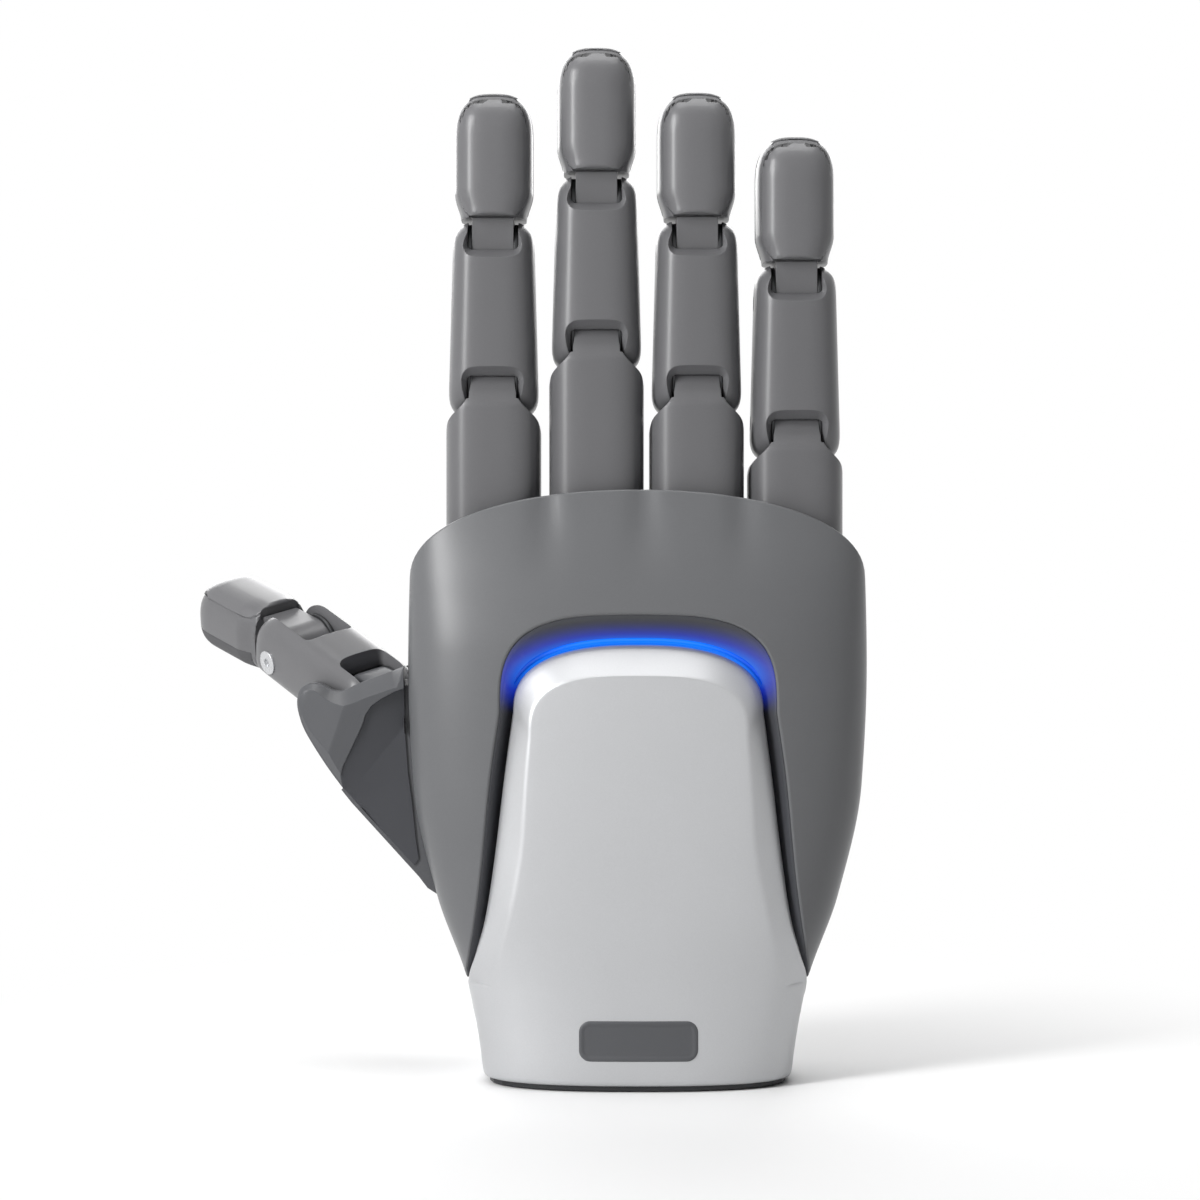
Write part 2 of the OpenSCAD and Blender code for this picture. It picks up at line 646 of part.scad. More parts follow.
module thumb_metacarpal() color(dark) {
  difference() {
    intersection() {
      along_meta() rotate([90, 0, 0]) linear_extrude(2 * wall_out, center = true)
        polygon([for (p = meta_outline()) [p[1], p[0]]]);
      union() {
        at_thumb() {
          span([-40, -back_depth, -60], [40, 60, 0]);
          rod_x(cheek_r, 60);
        }
        along_meta() span([-30, -20, -30], [30, 20, 18]);
      }
      at_thumb() translate([-40, -back_depth, -80]) cube([80, 60, 120]);
    }
    along_meta() span([-30, -wall_in, -30], [30, wall_in, 15.5]);
    translate([roll_x, roll_y, 30]) cylinder(r = hub_r + 0.8, h = 38);
    translate([roll_x, roll_y, swing_z]) rod_y(swing_pin_r, 60);
    at_thumb() {
      difference() {
        union() {
          rod_x(ear_r + 0.7, 2 * thumb_cheek_in);
          span([-thumb_cheek_in, -back_depth - 20, -ear_r - 0.6], [thumb_cheek_in, 0, 40]);
          span([-thumb_cheek_in, -1, -7], [thumb_cheek_in, 30, 40]);
        }
        rod_x(neck_r, neck_w);
        span([-neck_w / 2, -neck_r, -ear_r - 2], [neck_w / 2, front_depth - 0.6, 0]);
      }
      rod_x(pin_r + pin_fit, 2 * thumb_cheek_in);
    }
  }
}

thumb_cheek_in = 8.5;
cheek_r = 9.4;
module thumb_mcp_pin() color(steel) at_thumb() rod_x(pin_r, 2 * thumb_cheek_in - 2);

module thumb_proximal() at_thumb() difference() {
  double_fork(thumb_link_len, 7.9, 7.8, -4.1, -8.7);
  for (s = [-1, 1]) translate([s * 9.4, 0, thumb_link_len]) rod_x(screw_head_r + 0.1, 4);
}

screw_head_r = 2.3;
module thumb_hinge_screws() color(silver) at_thumb(thumb_link_len) difference() {
  union() {
    rod_x(pin_r, 15.4);
    for (s = [-1, 1]) translate([s * 7.75, 0, 0]) rod_x(screw_head_r, 0.7);
  }
  for (s = [-1, 1]) translate([s * 8.1, 0, 0]) rotate([0, 90, 0])
    cylinder(r = 0.9, h = 0.8, center = true, $fn = 6);
}

thumb_tip_len = 29;
module thumb_distal() at_thumb_tip() distal_link(thumb_tip_len);
module thumb_nail_plate() at_thumb_tip() nail_plate(thumb_tip_len);
module thumb_tip_pad() at_thumb_tip() fingertip_pad(thumb_tip_len);

// ---------------------------------------------------------------- assembly

fingers = ["index", "middle", "ring", "pinky"];

wrist_flange();
flange_screws();
wrist_housing();
number_plate();
dorsal_cover();
arch_bezel();
status_light();
palm_frame();
palm_cover();
palm_pad();
cover_screws();
control_board();
finger_actuators();
thumb_actuator();
palm_pins();

for (i = [0:3]) let (finger = fingers[i]) translate(finger_pivots[i]) {
  knuckle();
  mcp_pin();
  proximal_link();
  translate([0, 0, proximal_len]) {
    middle_link();
    link_pad(middle_len);
    hinge_pins();
  }
  translate([0, 0, proximal_len + middle_len]) {
    distal_link();
    nail_plate();
    fingertip_pad();
  }
}

thumb_hub();
thumb_swing_pin();
thumb_metacarpal();
thumb_mcp_pin();
thumb_proximal();
thumb_hinge_screws();
thumb_distal();
thumb_nail_plate();
thumb_tip_pad();
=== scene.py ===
"""Looks of the dexterous robot hand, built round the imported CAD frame."""
import json
import math

import bmesh
import bpy
import numpy as np
from mathutils import Matrix, Vector


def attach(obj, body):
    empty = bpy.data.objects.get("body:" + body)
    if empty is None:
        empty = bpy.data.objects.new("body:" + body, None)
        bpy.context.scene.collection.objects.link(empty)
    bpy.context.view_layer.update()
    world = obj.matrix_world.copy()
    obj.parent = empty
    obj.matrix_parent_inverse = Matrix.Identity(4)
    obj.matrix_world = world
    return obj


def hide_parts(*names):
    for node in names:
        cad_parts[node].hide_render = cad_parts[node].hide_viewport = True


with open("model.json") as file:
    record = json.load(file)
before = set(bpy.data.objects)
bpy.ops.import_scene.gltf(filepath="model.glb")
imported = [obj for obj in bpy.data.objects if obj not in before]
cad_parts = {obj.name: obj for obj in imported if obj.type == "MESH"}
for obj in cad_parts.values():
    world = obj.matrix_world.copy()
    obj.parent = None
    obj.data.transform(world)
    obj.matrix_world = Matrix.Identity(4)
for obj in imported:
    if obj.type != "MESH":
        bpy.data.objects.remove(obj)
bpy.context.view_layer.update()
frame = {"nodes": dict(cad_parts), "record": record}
NODES = frame["nodes"]
BEHAVIOUR = frame["record"]["behaviour"]
BODY_OF = {n: b for b, ns in BEHAVIOUR["bodies"].items() for n in ns}
MM = 0.001


# ---------------------------------------------------------------- nodes

def linear(*srgb):
    """Linear colour from 0-255 values."""
    out = []
    for c in srgb:
        c = c / 255
        out.append(c / 12.92 if c <= 0.04045 else ((c + 0.055) / 1.055) ** 2.4)
    return (*out, 1.0)


def feed(nt, socket, value):
    """Gives a socket a number, or the output of another node."""
    if isinstance(value, (int, float)):
        socket.default_value = value
    else:
        nt.links.new(value, socket)


def math_node(nt, operation, *values):
    """Result of a maths node on numbers and sockets."""
    node = nt.nodes.new("ShaderNodeMath")
    node.operation = operation
    for socket, value in zip(node.inputs, values):
        feed(nt, socket, value)
    return node.outputs[0]


def range_node(nt, value, source=(0.0, 1.0), target=(0.0, 1.0), smooth_step=False):
    """Maps a value from one range to another, and holds it there."""
    node = nt.nodes.new("ShaderNodeMapRange")
    if smooth_step:
        node.interpolation_type = "SMOOTHSTEP"
    sockets = ("Value", "From Min", "From Max", "To Min", "To Max")
    for name, number in zip(sockets, (value, *source, *target)):
        feed(nt, node.inputs[name], number)
    return node.outputs["Result"]


def ramp_node(nt, value, *stops):
    """Colour ramp with its stops given as (place, colour), the ends first."""
    ramp = nt.nodes.new("ShaderNodeValToRGB")
    elements = ramp.color_ramp.elements
    for k, (place, colour) in enumerate(stops):
        stop = elements[k] if k < 2 else elements.new(place)
        stop.color = colour
    nt.links.new(value, ramp.inputs["Fac"])
    return ramp.outputs["Color"]


def object_axes(nt):
    """Sockets of the X, Y and Z of a point, in metres."""
    coord = nt.nodes.new("ShaderNodeTexCoord")
    split = nt.nodes.new("ShaderNodeSeparateXYZ")
    nt.links.new(coord.outputs["Object"], split.inputs["Vector"])
    return split.outputs["X"], split.outputs["Y"], split.outputs["Z"]


def seen_directly(nt):
    """1 for what the camera sees, straight, through or in gloss, and 0 for what lights the part."""
    path = nt.nodes.new("ShaderNodeLightPath")
    straight = math_node(nt, "MAXIMUM", path.outputs["Is Camera Ray"],
                         path.outputs["Is Transmission Ray"])
    return math_node(nt, "MAXIMUM", straight, path.outputs["Is Glossy Ray"])


# ---------------------------------------------------------------- materials

EDGE_ROUND = 0.22      # radius in mm to which the shading rounds every edge
ROUGH_SPREAD = 0.06


def material(name, light, dark, rough, metallic=0.0, grain=3600, bump=0.02, streak=None, gloss=0.5):
    """Moulded, painted or machined surface: fine grain, cloudy tone and uneven gloss."""
    mat = bpy.data.materials.new(name)
    mat.use_nodes = True
    nt = mat.node_tree
    nodes, links = nt.nodes, nt.links
    bsdf = nodes["Principled BSDF"]
    bsdf.inputs["Metallic"].default_value = metallic
    bsdf.inputs["Specular IOR Level"].default_value = gloss
    coord = nodes.new("ShaderNodeTexCoord")
    mapping = nodes.new("ShaderNodeMapping")
    links.new(coord.outputs["Object"], mapping.inputs["Vector"])
    if streak:
        mapping.inputs["Scale"].default_value = streak

    fine = nodes.new("ShaderNodeTexNoise")
    fine.inputs["Scale"].default_value = grain
    fine.inputs["Detail"].default_value = 3.0
    fine.inputs["Roughness"].default_value = 0.6
    links.new(mapping.outputs["Vector"], fine.inputs["Vector"])

    cloud = nodes.new("ShaderNodeTexNoise")
    cloud.inputs["Scale"].default_value = 34
    cloud.inputs["Detail"].default_value = 4.0
    links.new(coord.outputs["Object"], cloud.inputs["Vector"])

    tone = nodes.new("ShaderNodeMix")
    tone.data_type = "RGBA"
    tone.inputs["A"].default_value = dark
    tone.inputs["B"].default_value = light
    clouded = math_node(nt, "MULTIPLY", cloud.outputs["Fac"], 0.45)
    share = math_node(nt, "MULTIPLY_ADD", fine.outputs["Fac"], 0.55, clouded)
    links.new(share, tone.inputs["Factor"])
    links.new(tone.outputs["Result"], bsdf.inputs["Base Color"])
    spread = range_node(nt, fine.outputs["Fac"], target=(rough - ROUGH_SPREAD, rough + ROUGH_SPREAD))
    links.new(spread, bsdf.inputs["Roughness"])

    relief = nodes.new("ShaderNodeBump")
    relief.inputs["Strength"].default_value = 0.35
    relief.inputs["Distance"].default_value = bump * MM
    links.new(fine.outputs["Fac"], relief.inputs["Height"])
    links.new(relief.outputs["Normal"], bsdf.inputs["Normal"])
    soften = nodes.new("ShaderNodeBevel")
    soften.samples = 4
    soften.inputs["Radius"].default_value = EDGE_ROUND * MM
    links.new(soften.outputs["Normal"], relief.inputs["Normal"])
    return mat


def emit(nt, colour, strength):
    """Makes a material glow with a colour socket."""
    bsdf = nt.nodes["Principled BSDF"]
    nt.links.new(colour, bsdf.inputs["Emission Color"])
    bsdf.inputs["Emission Strength"].default_value = strength


def spill_light(mat):
    """Adds the blue of the light strip spilling over the recess wall round the top of the tongue."""
    nt = mat.node_tree
    half_w, foot, rise, e = 0.0225, 0.0675, 0.0119, 2.5      # crown of the tongue, in metres
    x, _, z = object_axes(nt)
    wide = math_node(nt, "MULTIPLY", math_node(nt, "ABSOLUTE", x), 1 / half_w)
    up = math_node(nt, "MAXIMUM", math_node(nt, "SUBTRACT", z, foot), 0.0)
    high = math_node(nt, "MULTIPLY", up, 1 / rise)
    total = math_node(nt, "ADD", math_node(nt, "POWER", wide, e), math_node(nt, "POWER", high, e))
    reach = math_node(nt, "POWER", total, 1 / e)
    near = range_node(nt, reach, source=(1.42, 1.04))                     # dies away round the crown
    top = range_node(nt, z, source=(0.067, 0.077), smooth_step=True)      # and down its shoulders
    level = math_node(nt, "MULTIPLY", math_node(nt, "POWER", near, 2.2), top)
    colour = ramp_node(nt, level, (0.0, linear(0, 0, 0)), (1.0, linear(8, 120, 255)),
                       (0.4, linear(8, 40, 170)))
    emit(nt, colour, 0.9)


def glow_material(name):
    """Lit light guide: brightest along its middle, deeper blue at its ends."""
    mat = bpy.data.materials.new(name)
    mat.use_nodes = True
    nt = mat.node_tree
    bsdf = nt.nodes["Principled BSDF"]
    bsdf.inputs["Base Color"].default_value = linear(10, 70, 200)
    bsdf.inputs["Roughness"].default_value = 0.35
    side = math_node(nt, "ABSOLUTE", object_axes(nt)[0])
    fade = range_node(nt, side, source=(0.008, 0.0235), target=(1.0, 0.12), smooth_step=True)
    emit(nt, ramp_node(nt, fade, (0.0, linear(4, 18, 90)), (1.0, linear(4, 116, 235))), 1.0)
    return mat


# light and dark tone, roughness and what else differs
FINISHES = {
    "housing_silver": ((196, 197, 199), (178, 179, 181), 0.36, {"metallic": 0.45, "grain": 3800}),
    "cover_dark": ((106, 107, 109), (94, 95, 97), 0.34, {"gloss": 0.4}),
    "bezel_dark": ((70, 71, 75), (60, 61, 65), 0.38, {"gloss": 0.3}),
    "finger_shell": ((106, 106, 108), (94, 94, 96), 0.31, {"gloss": 0.42}),
    "nail_plate": ((108, 108, 110), (97, 97, 99), 0.31, {"gloss": 0.42}),
    "soft_pad": ((84, 84, 86), (70, 70, 72), 0.62, {"grain": 2400, "bump": 0.05, "gloss": 0.34}),
    "frame_metal": ((178, 180, 184), (156, 158, 162), 0.34,
                    {"metallic": 0.9, "grain": 900, "streak": (1, 1, 12)}),
    "pin_steel": ((190, 192, 196), (165, 167, 171), 0.26,
                  {"metallic": 0.95, "grain": 900, "streak": (8, 1, 1)}),
    "screw_steel": ((222, 223, 225), (198, 199, 201), 0.28, {"metallic": 0.9, "grain": 1400}),
    "flange_black": ((46, 47, 49), (38, 39, 41), 0.42, {"metallic": 0.3, "grain": 3000}),
    "plate_dark": ((86, 87, 90), (78, 79, 82), 0.34, {"gloss": 0.34}),
    "board": ((40, 104, 74), (28, 84, 58), 0.38, {"grain": 700}),
    "motor_metal": ((160, 162, 166), (138, 140, 144), 0.3,
                    {"metallic": 0.9, "grain": 900, "streak": (1, 1, 10)}),
}
MATERIALS = {name: material(name, linear(*light), linear(*dark), rough, **rest)
             for name, (light, dark, rough, rest) in FINISHES.items()}
MATERIALS["status_light"] = glow_material("status_light")
spill_light(MATERIALS["bezel_dark"])


def slot_of(node):
    """Record slot of a CAD node, from the material that it was packed with."""
    for s in NODES[node].material_slots:
        if s.material:
            for name in MATERIALS:
                if s.material.name.startswith(name):
                    return name
    return None


SLOT = {n: slot_of(n) for n in NODES}
for name, obj in NODES.items():
    if SLOT[name]:
        for s in obj.material_slots:
            s.material = MATERIALS[SLOT[name]]


# ---------------------------------------------------------------- shapes shared with the CAD
# All lengths from here on are in mm.

JOINT_AT = {j["name"]: [round(v / MM, 4) for v in j["pos_m"]] for j in BEHAVIOUR["joints"]}


def apart(a, b):
    """Distance between two joints."""
    return round(math.dist(JOINT_AT[a], JOINT_AT[b]), 2)


def turned(rx, ry, rz):
    """OpenSCAD's rotate([rx, ry, rz])."""
    return (Matrix.Rotation(math.radians(rz), 4, "Z") @ Matrix.Rotation(math.radians(ry), 4, "Y")
            @ Matrix.Rotation(math.radians(rx), 4, "X"))


def local_frame(joint, z=0.0):
    """Frame at a joint, z higher up."""
    x, y, z0 = JOINT_AT[joint]
    return Matrix.Translation((x * MM, y * MM, (z0 + z) * MM))


FINGERS = ("index", "middle", "ring", "pinky")
PROXIMAL_LEN = apart("index_mcp", "index_pip")
MIDDLE_LEN = apart("index_pip", "index_dip")
THUMB_LINK_LEN = apart("thumb_mcp", "thumb_ip")
DISTAL_LEN, THUMB_TIP_LEN = 30.7, 29.0
THUMB = local_frame("thumb_mcp") @ turned(-64.8, -13.9, 37.5)
THUMB_TIP = THUMB @ Matrix.Translation((0, 0, THUMB_LINK_LEN * MM)) @ turned(-8, 0, 0)
BACK, FRONT = 9.0, 5.0         # depth of a link behind and before its pivots
EAR_R, NECK_R, PIN_R = 7.0, 6.2, 1.5
NECK_W, FORK_W = 8.0, 9.25
PROXIMAL_HW = 8.75
LINK_E, TIP_E = 3.4, 2.9       # superellipse exponents of the sections
FAR = 20.0                     # where cutters end, beyond any link
TIP_Z = 22                     # where an end link starts to round off
SEAM_Y = -5.0                  # the hand is widest here
HAND_E = 2.5
BODY_HW = [[0, 28], [7, 28.9], [17.8, 31], [33.5, 36.6], [54, 41.0], [76, 41.95], [91, 41.7],
           [108, 39.5]]
BODY_BACK = [[0, 15], [10, 15], [60, 14.8], [78, 14.2], [90, 12], [100, 8.5], [108, 5.5]]
BODY_PALM = [[0, 25], [10, 25], [34, 22], [60, 20.5], [84, 19.5], [94, 17], [108, 12]]


def smooth(z, rows):
    """Monotone cubic curve through a table of (height, value) rows."""
    rows = np.array(rows, float)
    x, y = rows[:, 0], rows[:, 1]
    h = np.diff(x)
    d = np.diff(y) / h
    m = np.zeros_like(y)
    m[0], m[-1] = d[0], d[-1]
    for k in range(1, len(x) - 1):
        if d[k - 1] * d[k] > 0:
            w1, w2 = 2 * h[k] + h[k - 1], h[k] + 2 * h[k - 1]
            m[k] = (w1 + w2) / (w1 / d[k - 1] + w2 / d[k])
    z = np.clip(np.asarray(z, float), x[0], x[-1])
    k = np.clip(np.searchsorted(x, z, side="right") - 1, 0, len(x) - 2)
    t = (z - x[k]) / h[k]
    return ((1 + 2 * t) * (1 - t) ** 2 * y[k] + t * (1 - t) ** 2 * h[k] * m[k]
            + t * t * (3 - 2 * t) * y[k + 1] + t * t * (t - 1) * h[k] * m[k + 1])


def power(value, exponent):
    """Power of a value's size, with its sign."""
    return np.sign(value) * np.abs(value) ** exponent


def blend(a, b, t):
    """Straight blend from a at t = 0 to b at 1, held beyond."""
    t = np.clip(t, 0, 1)
    return a + (b - a) * t


def ease(t):
    """Smooth step from 0 to 1."""
    t = np.clip(t, 0, 1)
    return t * t * (3 - 2 * t)


def hand_y(x, z, grow=0.0):
    """Depth of the back of the hand at (x, z)."""
    u = np.minimum(np.abs(x) / (smooth(z, BODY_HW) + grow), 1.0)
    return SEAM_Y - (smooth(z, BODY_BACK) + grow) * (1 - u ** HAND_E) ** (1 / HAND_E)


def hand_turn(x, z):
    """Share of the way round the back, -1 to 1, at which the hand has this x."""
    u = np.minimum(np.abs(x) / smooth(z, BODY_HW), 1.0)
    return np.sign(x) * np.arcsin(u ** (HAND_E / 2)) * 2 / np.pi


def hand_point(turn, z):
    """Point of the back of the hand at a share of the way round."""
    a = np.abs(turn) * np.pi / 2
    x = np.sign(turn) * smooth(z, BODY_HW) * np.sin(a) ** (2 / HAND_E)
    y = SEAM_Y - smooth(z, BODY_BACK) * np.abs(np.cos(a)) ** (2 / HAND_E)
    return np.stack([x, y, z + 0 * x], axis=-1)


def snap(co, centre_y, half_w, back, palm, e, low, high):
    """Moves points that lie about on a superellipse section onto it exactly."""
    x, y = co[:, 0], co[:, 1] - centre_y
    depth = np.where(y > 0, palm, back)
    reach = (np.abs(x / half_w) ** e + np.abs(y / depth) ** e) ** (1 / e)
    near = (reach > low) & (reach < high)
    k = np.where(near, 1 / np.maximum(reach, 1e-6), 1.0)
    out = co.copy()
    out[:, 0] = x * k
    out[:, 1] = y * k + centre_y
    return out


def on_hand(co):
    """Moves points that are near the skin of the hand onto it."""
    z = co[:, 2]
    return snap(co, SEAM_Y, smooth(z, BODY_HW), smooth(z, BODY_BACK), smooth(z, BODY_PALM), HAND_E,
                low=0.975, high=1.012)


def on_tip(length, grow=0.0):
    """Mover of points that are near the skin of an end link onto it, or grow outside it."""
    half_w, foot_z, width_e, depth_e = 7.2, 7.2, 2.7, 2.2

    def place(co):
        z = co[:, 2] - grow
        u = np.clip((z - TIP_Z) / (length - TIP_Z), 0, 0.999)
        wide = half_w * (1 - u ** width_e) ** (1 / width_e) * blend(0.84, 1, ease((z - foot_z) / 5))
        deep = (1 - u ** depth_e) ** (1 / depth_e)
        crown = u > 0.3
        return snap(co, 0, wide + grow, (BACK - 0.9) * deep + grow, (FRONT + 0.7) * deep + grow, TIP_E,
                    low=np.where(z < foot_z + 0.1, 9, np.where(crown, 0.86, 0.955)),
                    high=np.where(crown, 1.1, 1.04))
    return place


# ---------------------------------------------------------------- pieces

def sliced(node, step, local=None):
    """Copy of a node's mesh, cleaned to its real faces and cut into cells of about step mm."""
    bm = bmesh.new()
    bm.from_mesh(NODES[node].data)
    if local is not None:
        bm.transform(local.inverted())
    bmesh.ops.scale(bm, vec=(1000, 1000, 1000), verts=bm.verts)
    bmesh.ops.remove_doubles(bm, verts=bm.verts, dist=0.0008)
    bmesh.ops.dissolve_limit(bm, angle_limit=0.004, verts=bm.verts, edges=bm.edges)
    co = np.array([v.co[:] for v in bm.verts])
    for axis in range(3):
        lo, hi = co[:, axis].min(), co[:, axis].max()
        count = max(1, int(math.ceil((hi - lo) / step)))
        normal = Vector([1.0 if a == axis else 0.0 for a in range(3)])
        for k in range(1, count):
            at = Vector([0.0, 0.0, 0.0])
            at[axis] = lo + (hi - lo) * k / count
            bmesh.ops.bisect_plane(bm, geom=bm.verts[:] + bm.edges[:] + bm.faces[:], dist=1e-4,
                                   plane_co=at, plane_no=normal)
    return bm


def piece(name, bm, node, local=None, slot=None, angle=32, extra=False):
    """Writes a bmesh as a piece that stands for a node, or as an extra piece on the node's body."""
    mesh = bpy.data.meshes.new(name)
    bm.to_mesh(mesh)
    mesh.transform(Matrix.Scale(MM, 4))
    if local is not None:
        mesh.transform(local)
    obj = bpy.data.objects.new(name, mesh)
    bpy.context.scene.collection.objects.link(obj)
    slot = slot or SLOT[node]
    mesh.materials.append(MATERIALS[slot])
    mesh.polygons.foreach_set("use_smooth", [True] * len(mesh.polygons))
    mesh.set_sharp_from_angle(angle=math.radians(angle))
    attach(obj, BODY_OF[node])
    if not extra:
        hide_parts(node)


def move_points(bm, place):
    """Moves all the points of a bmesh by a function of their places."""
    verts = list(bm.verts)
    co = place(np.array([v.co[:] for v in verts]))
    for v, c in zip(verts, co):
        v.co = c


def detailed(node, place, step, local=None):
    """A node's own mesh with its skin moved onto the true curve."""
    bm = sliced(node, step, local)
    move_points(bm, place)
    piece(node + "_shell", bm, node, local)
    bm.free()


# ---------------------------------------------------------------- housing of the hand

ARCH_TOP, TONGUE_TOP, COVER_TOP, PANEL_TOP = 84.9, 79.4, 107.7, 74.0
ARCH_SPRING, TONGUE_SPRING, PANEL_SPRING = 67.4, 67.5, 63.0     # where the sides turn into the crown
ARCH_E, TONGUE_E, PANEL_E = 3.2, 2.5, 3.0
ARCH_HW = [[15, 31.8], [20, 31], [37.2, 28.4], [56.4, 26.4], [67.4, 24.8]]
TONGUE_HW = [[8, 29.0], [13, 30.1], [16, 30.6], [18.4, 30.7], [24, 29.2], [29.8, 27.6], [43.6, 25.5],
             [55.4, 24.1], [67.5, 22.5]]
PANEL_HW = [[8, 26.6], [15, 26.5], [18.4, 26.0], [24, 24.8], [29.8, 23.4], [43.6, 20.8], [55.4, 20.1],
            [63, 19.5]]
PANEL_RISE = [[8, -0.5], [11, -0.16], [13, -0.02], [15, 0.06], [18.4, 0.14], [24, 0.3], [32, 0.47],
              [70, 0.55]]
BEVEL_DROP = [[8, 0.02], [15, 0.03], [18.4, 0.1], [24, 0.9], [32, 2.0], [66, 2.9], [79.4, 3.6]]
VALLEYS = (-16.6, 1.2, 19.0)   # X of the valleys between the knuckles


def loops_mesh(loops, closed=False):
    """Quads between rings of points; the end rings are filled, or joined where it is closed."""
    loops = np.asarray(loops, float)
    count, around = loops.shape[0], loops.shape[1]
    faces = []
    for k in range(count if closed else count - 1):
        a, b = k * around, ((k + 1) % count) * around
        for i in range(around):
            j = (i + 1) % around
            faces.append((a + i, a + j, b + j, b + i))
    if not closed:
        faces.append(tuple(range(around))[::-1])
        faces.append(tuple((count - 1) * around + i for i in range(around)))
    bm = bmesh.new()
    verts = [bm.verts.new(p) for p in loops.reshape(-1, 3)]
    for f in faces:
        bm.faces.new([verts[i] for i in f])
    bmesh.ops.remove_doubles(bm, verts=bm.verts, dist=0.004)
    bmesh.ops.dissolve_degenerate(bm, dist=0.003, edges=bm.edges)
    bmesh.ops.recalc_face_normals(bm, faces=bm.faces)
    return bm


def mirrored(half):
    """Right half of a path, foot to top, into the whole path from left foot to right foot."""
    left = half.copy()
    left[..., 0] *= -1
    return np.concatenate([left, half[::-1][1:]])


def side_then_crown(hw, foot, z0, z1, e, grow, n_side, n_crown):
    """Right half of an arched outline in (x, z), from its foot to the middle of its top."""
    z = np.linspace(foot, z0, n_side, endpoint=False)
    side = np.stack([smooth(z, hw) + grow, z], axis=-1)
    a = np.linspace(0, np.pi / 2, n_crown)
    top = np.stack([(smooth(z0, hw) + grow) * np.cos(a).clip(0) ** (2 / e),
                    z0 + (z1 - z0 + grow) * np.sin(a) ** (2 / e)], axis=-1)
    top[-1, 0] = 0.0
    return np.concatenate([side, top])


def absorb(bm, other):
    """Adds a copy of another bmesh, which is used up."""
    mesh = bpy.data.meshes.new("working")
    other.to_mesh(mesh)
    other.free()
    bm.from_mesh(mesh)
    bpy.data.meshes.remove(mesh)


def joined(base, other, operation="DIFFERENCE"):
    """Boolean of two closed bmeshes in mm; both are used up."""
    objs = []
    for bm in (base, other):
        mesh = bpy.data.meshes.new("working")
        bm.to_mesh(mesh)
        bm.free()
        obj = bpy.data.objects.new("working", mesh)
        bpy.context.scene.collection.objects.link(obj)
        objs.append(obj)
    step = objs[0].modifiers.new("boolean", "BOOLEAN")
    step.operation = operation
    step.solver = "EXACT"
    step.object = objs[1]
    graph = bpy.context.evaluated_depsgraph_get()
    done = bpy.data.meshes.new_from_object(objs[0].evaluated_get(graph))
    out = bmesh.new()
    out.from_mesh(done)
    bpy.data.meshes.remove(done)
    for obj in objs:
        mesh = obj.data
        bpy.data.objects.remove(obj)
        bpy.data.meshes.remove(mesh)
    return out


def block(lo, hi):
    """Closed box from its low corner to its high corner."""
    bm = bmesh.new()
    bmesh.ops.create_cube(bm, size=1.0)
    for v in bm.verts:
        v.co = Vector([lo[k] if v.co[k] < 0 else hi[k] for k in range(3)])
    return bm


def rod(radius, x0, x1, z=0.0, rim=0.0, n=72):
    """Closed cylinder along X about the pivot at height z, with a rounded rim."""
    a = 2 * np.pi * np.arange(n) / n
    ends = [(x0, radius)]
    if rim:
        ends = [(x0, radius - rim), (x0 + 0.3 * rim, radius - 0.3 * rim), (x0 + rim, radius)]
    ends += [(x0 + x1 - x, r) for x, r in ends[::-1]]
    return loops_mesh(np.stack([np.stack([np.full(n, x), r * np.cos(a), z + r * np.sin(a)], axis=-1)
                                for x, r in ends]))


def depth_loft(levels):
    """Closed solid through front outlines, each an (n, 2) array of x and z, given as (y, outline)."""
    return loops_mesh(np.stack([np.stack([p[:, 0], np.full(len(p), y), p[:, 1]], axis=-1)
                                for y, p in levels]))


def section(hw, back, palm, z, e=LINK_E, n=80):
    """Superellipse section of a link at height z."""
    a = 2 * np.pi * (np.arange(n) + 0.5) / n
    depth = np.where(np.sin(a) > 0, palm, back)
    return np.stack([hw * power(np.cos(a), 2 / e), depth * power(np.sin(a), 2 / e), np.full(n, z)],
                    axis=-1)


def knuckle_dip(x, z):
    """Shallow valleys between the knuckles at the top edge of the back cover."""
    foot, fade, top, deepest = 88, 17, 108, 0.85
    width = 2.2 + 0.10 * (top - z)
    return ease((z - foot) / fade) * sum(deepest * np.exp(-((x - v) / width) ** 2) for v in VALLEYS)


def rolled(edge, outward, normal, radius, thick):
    """Rows that round an edge over and take it down to the inner face."""
    rows = [edge + outward * radius * math.sin(a) - normal * radius * (1 - math.cos(a))
            for a in (math.radians(30), math.radians(60), math.radians(90))]
    rows.append(edge + outward * radius - normal * thick)
    return rows


def unit(v):
    """Vectors of length 1."""
    return v / np.maximum(np.linalg.norm(v, axis=-1, keepdims=True), 1e-9)


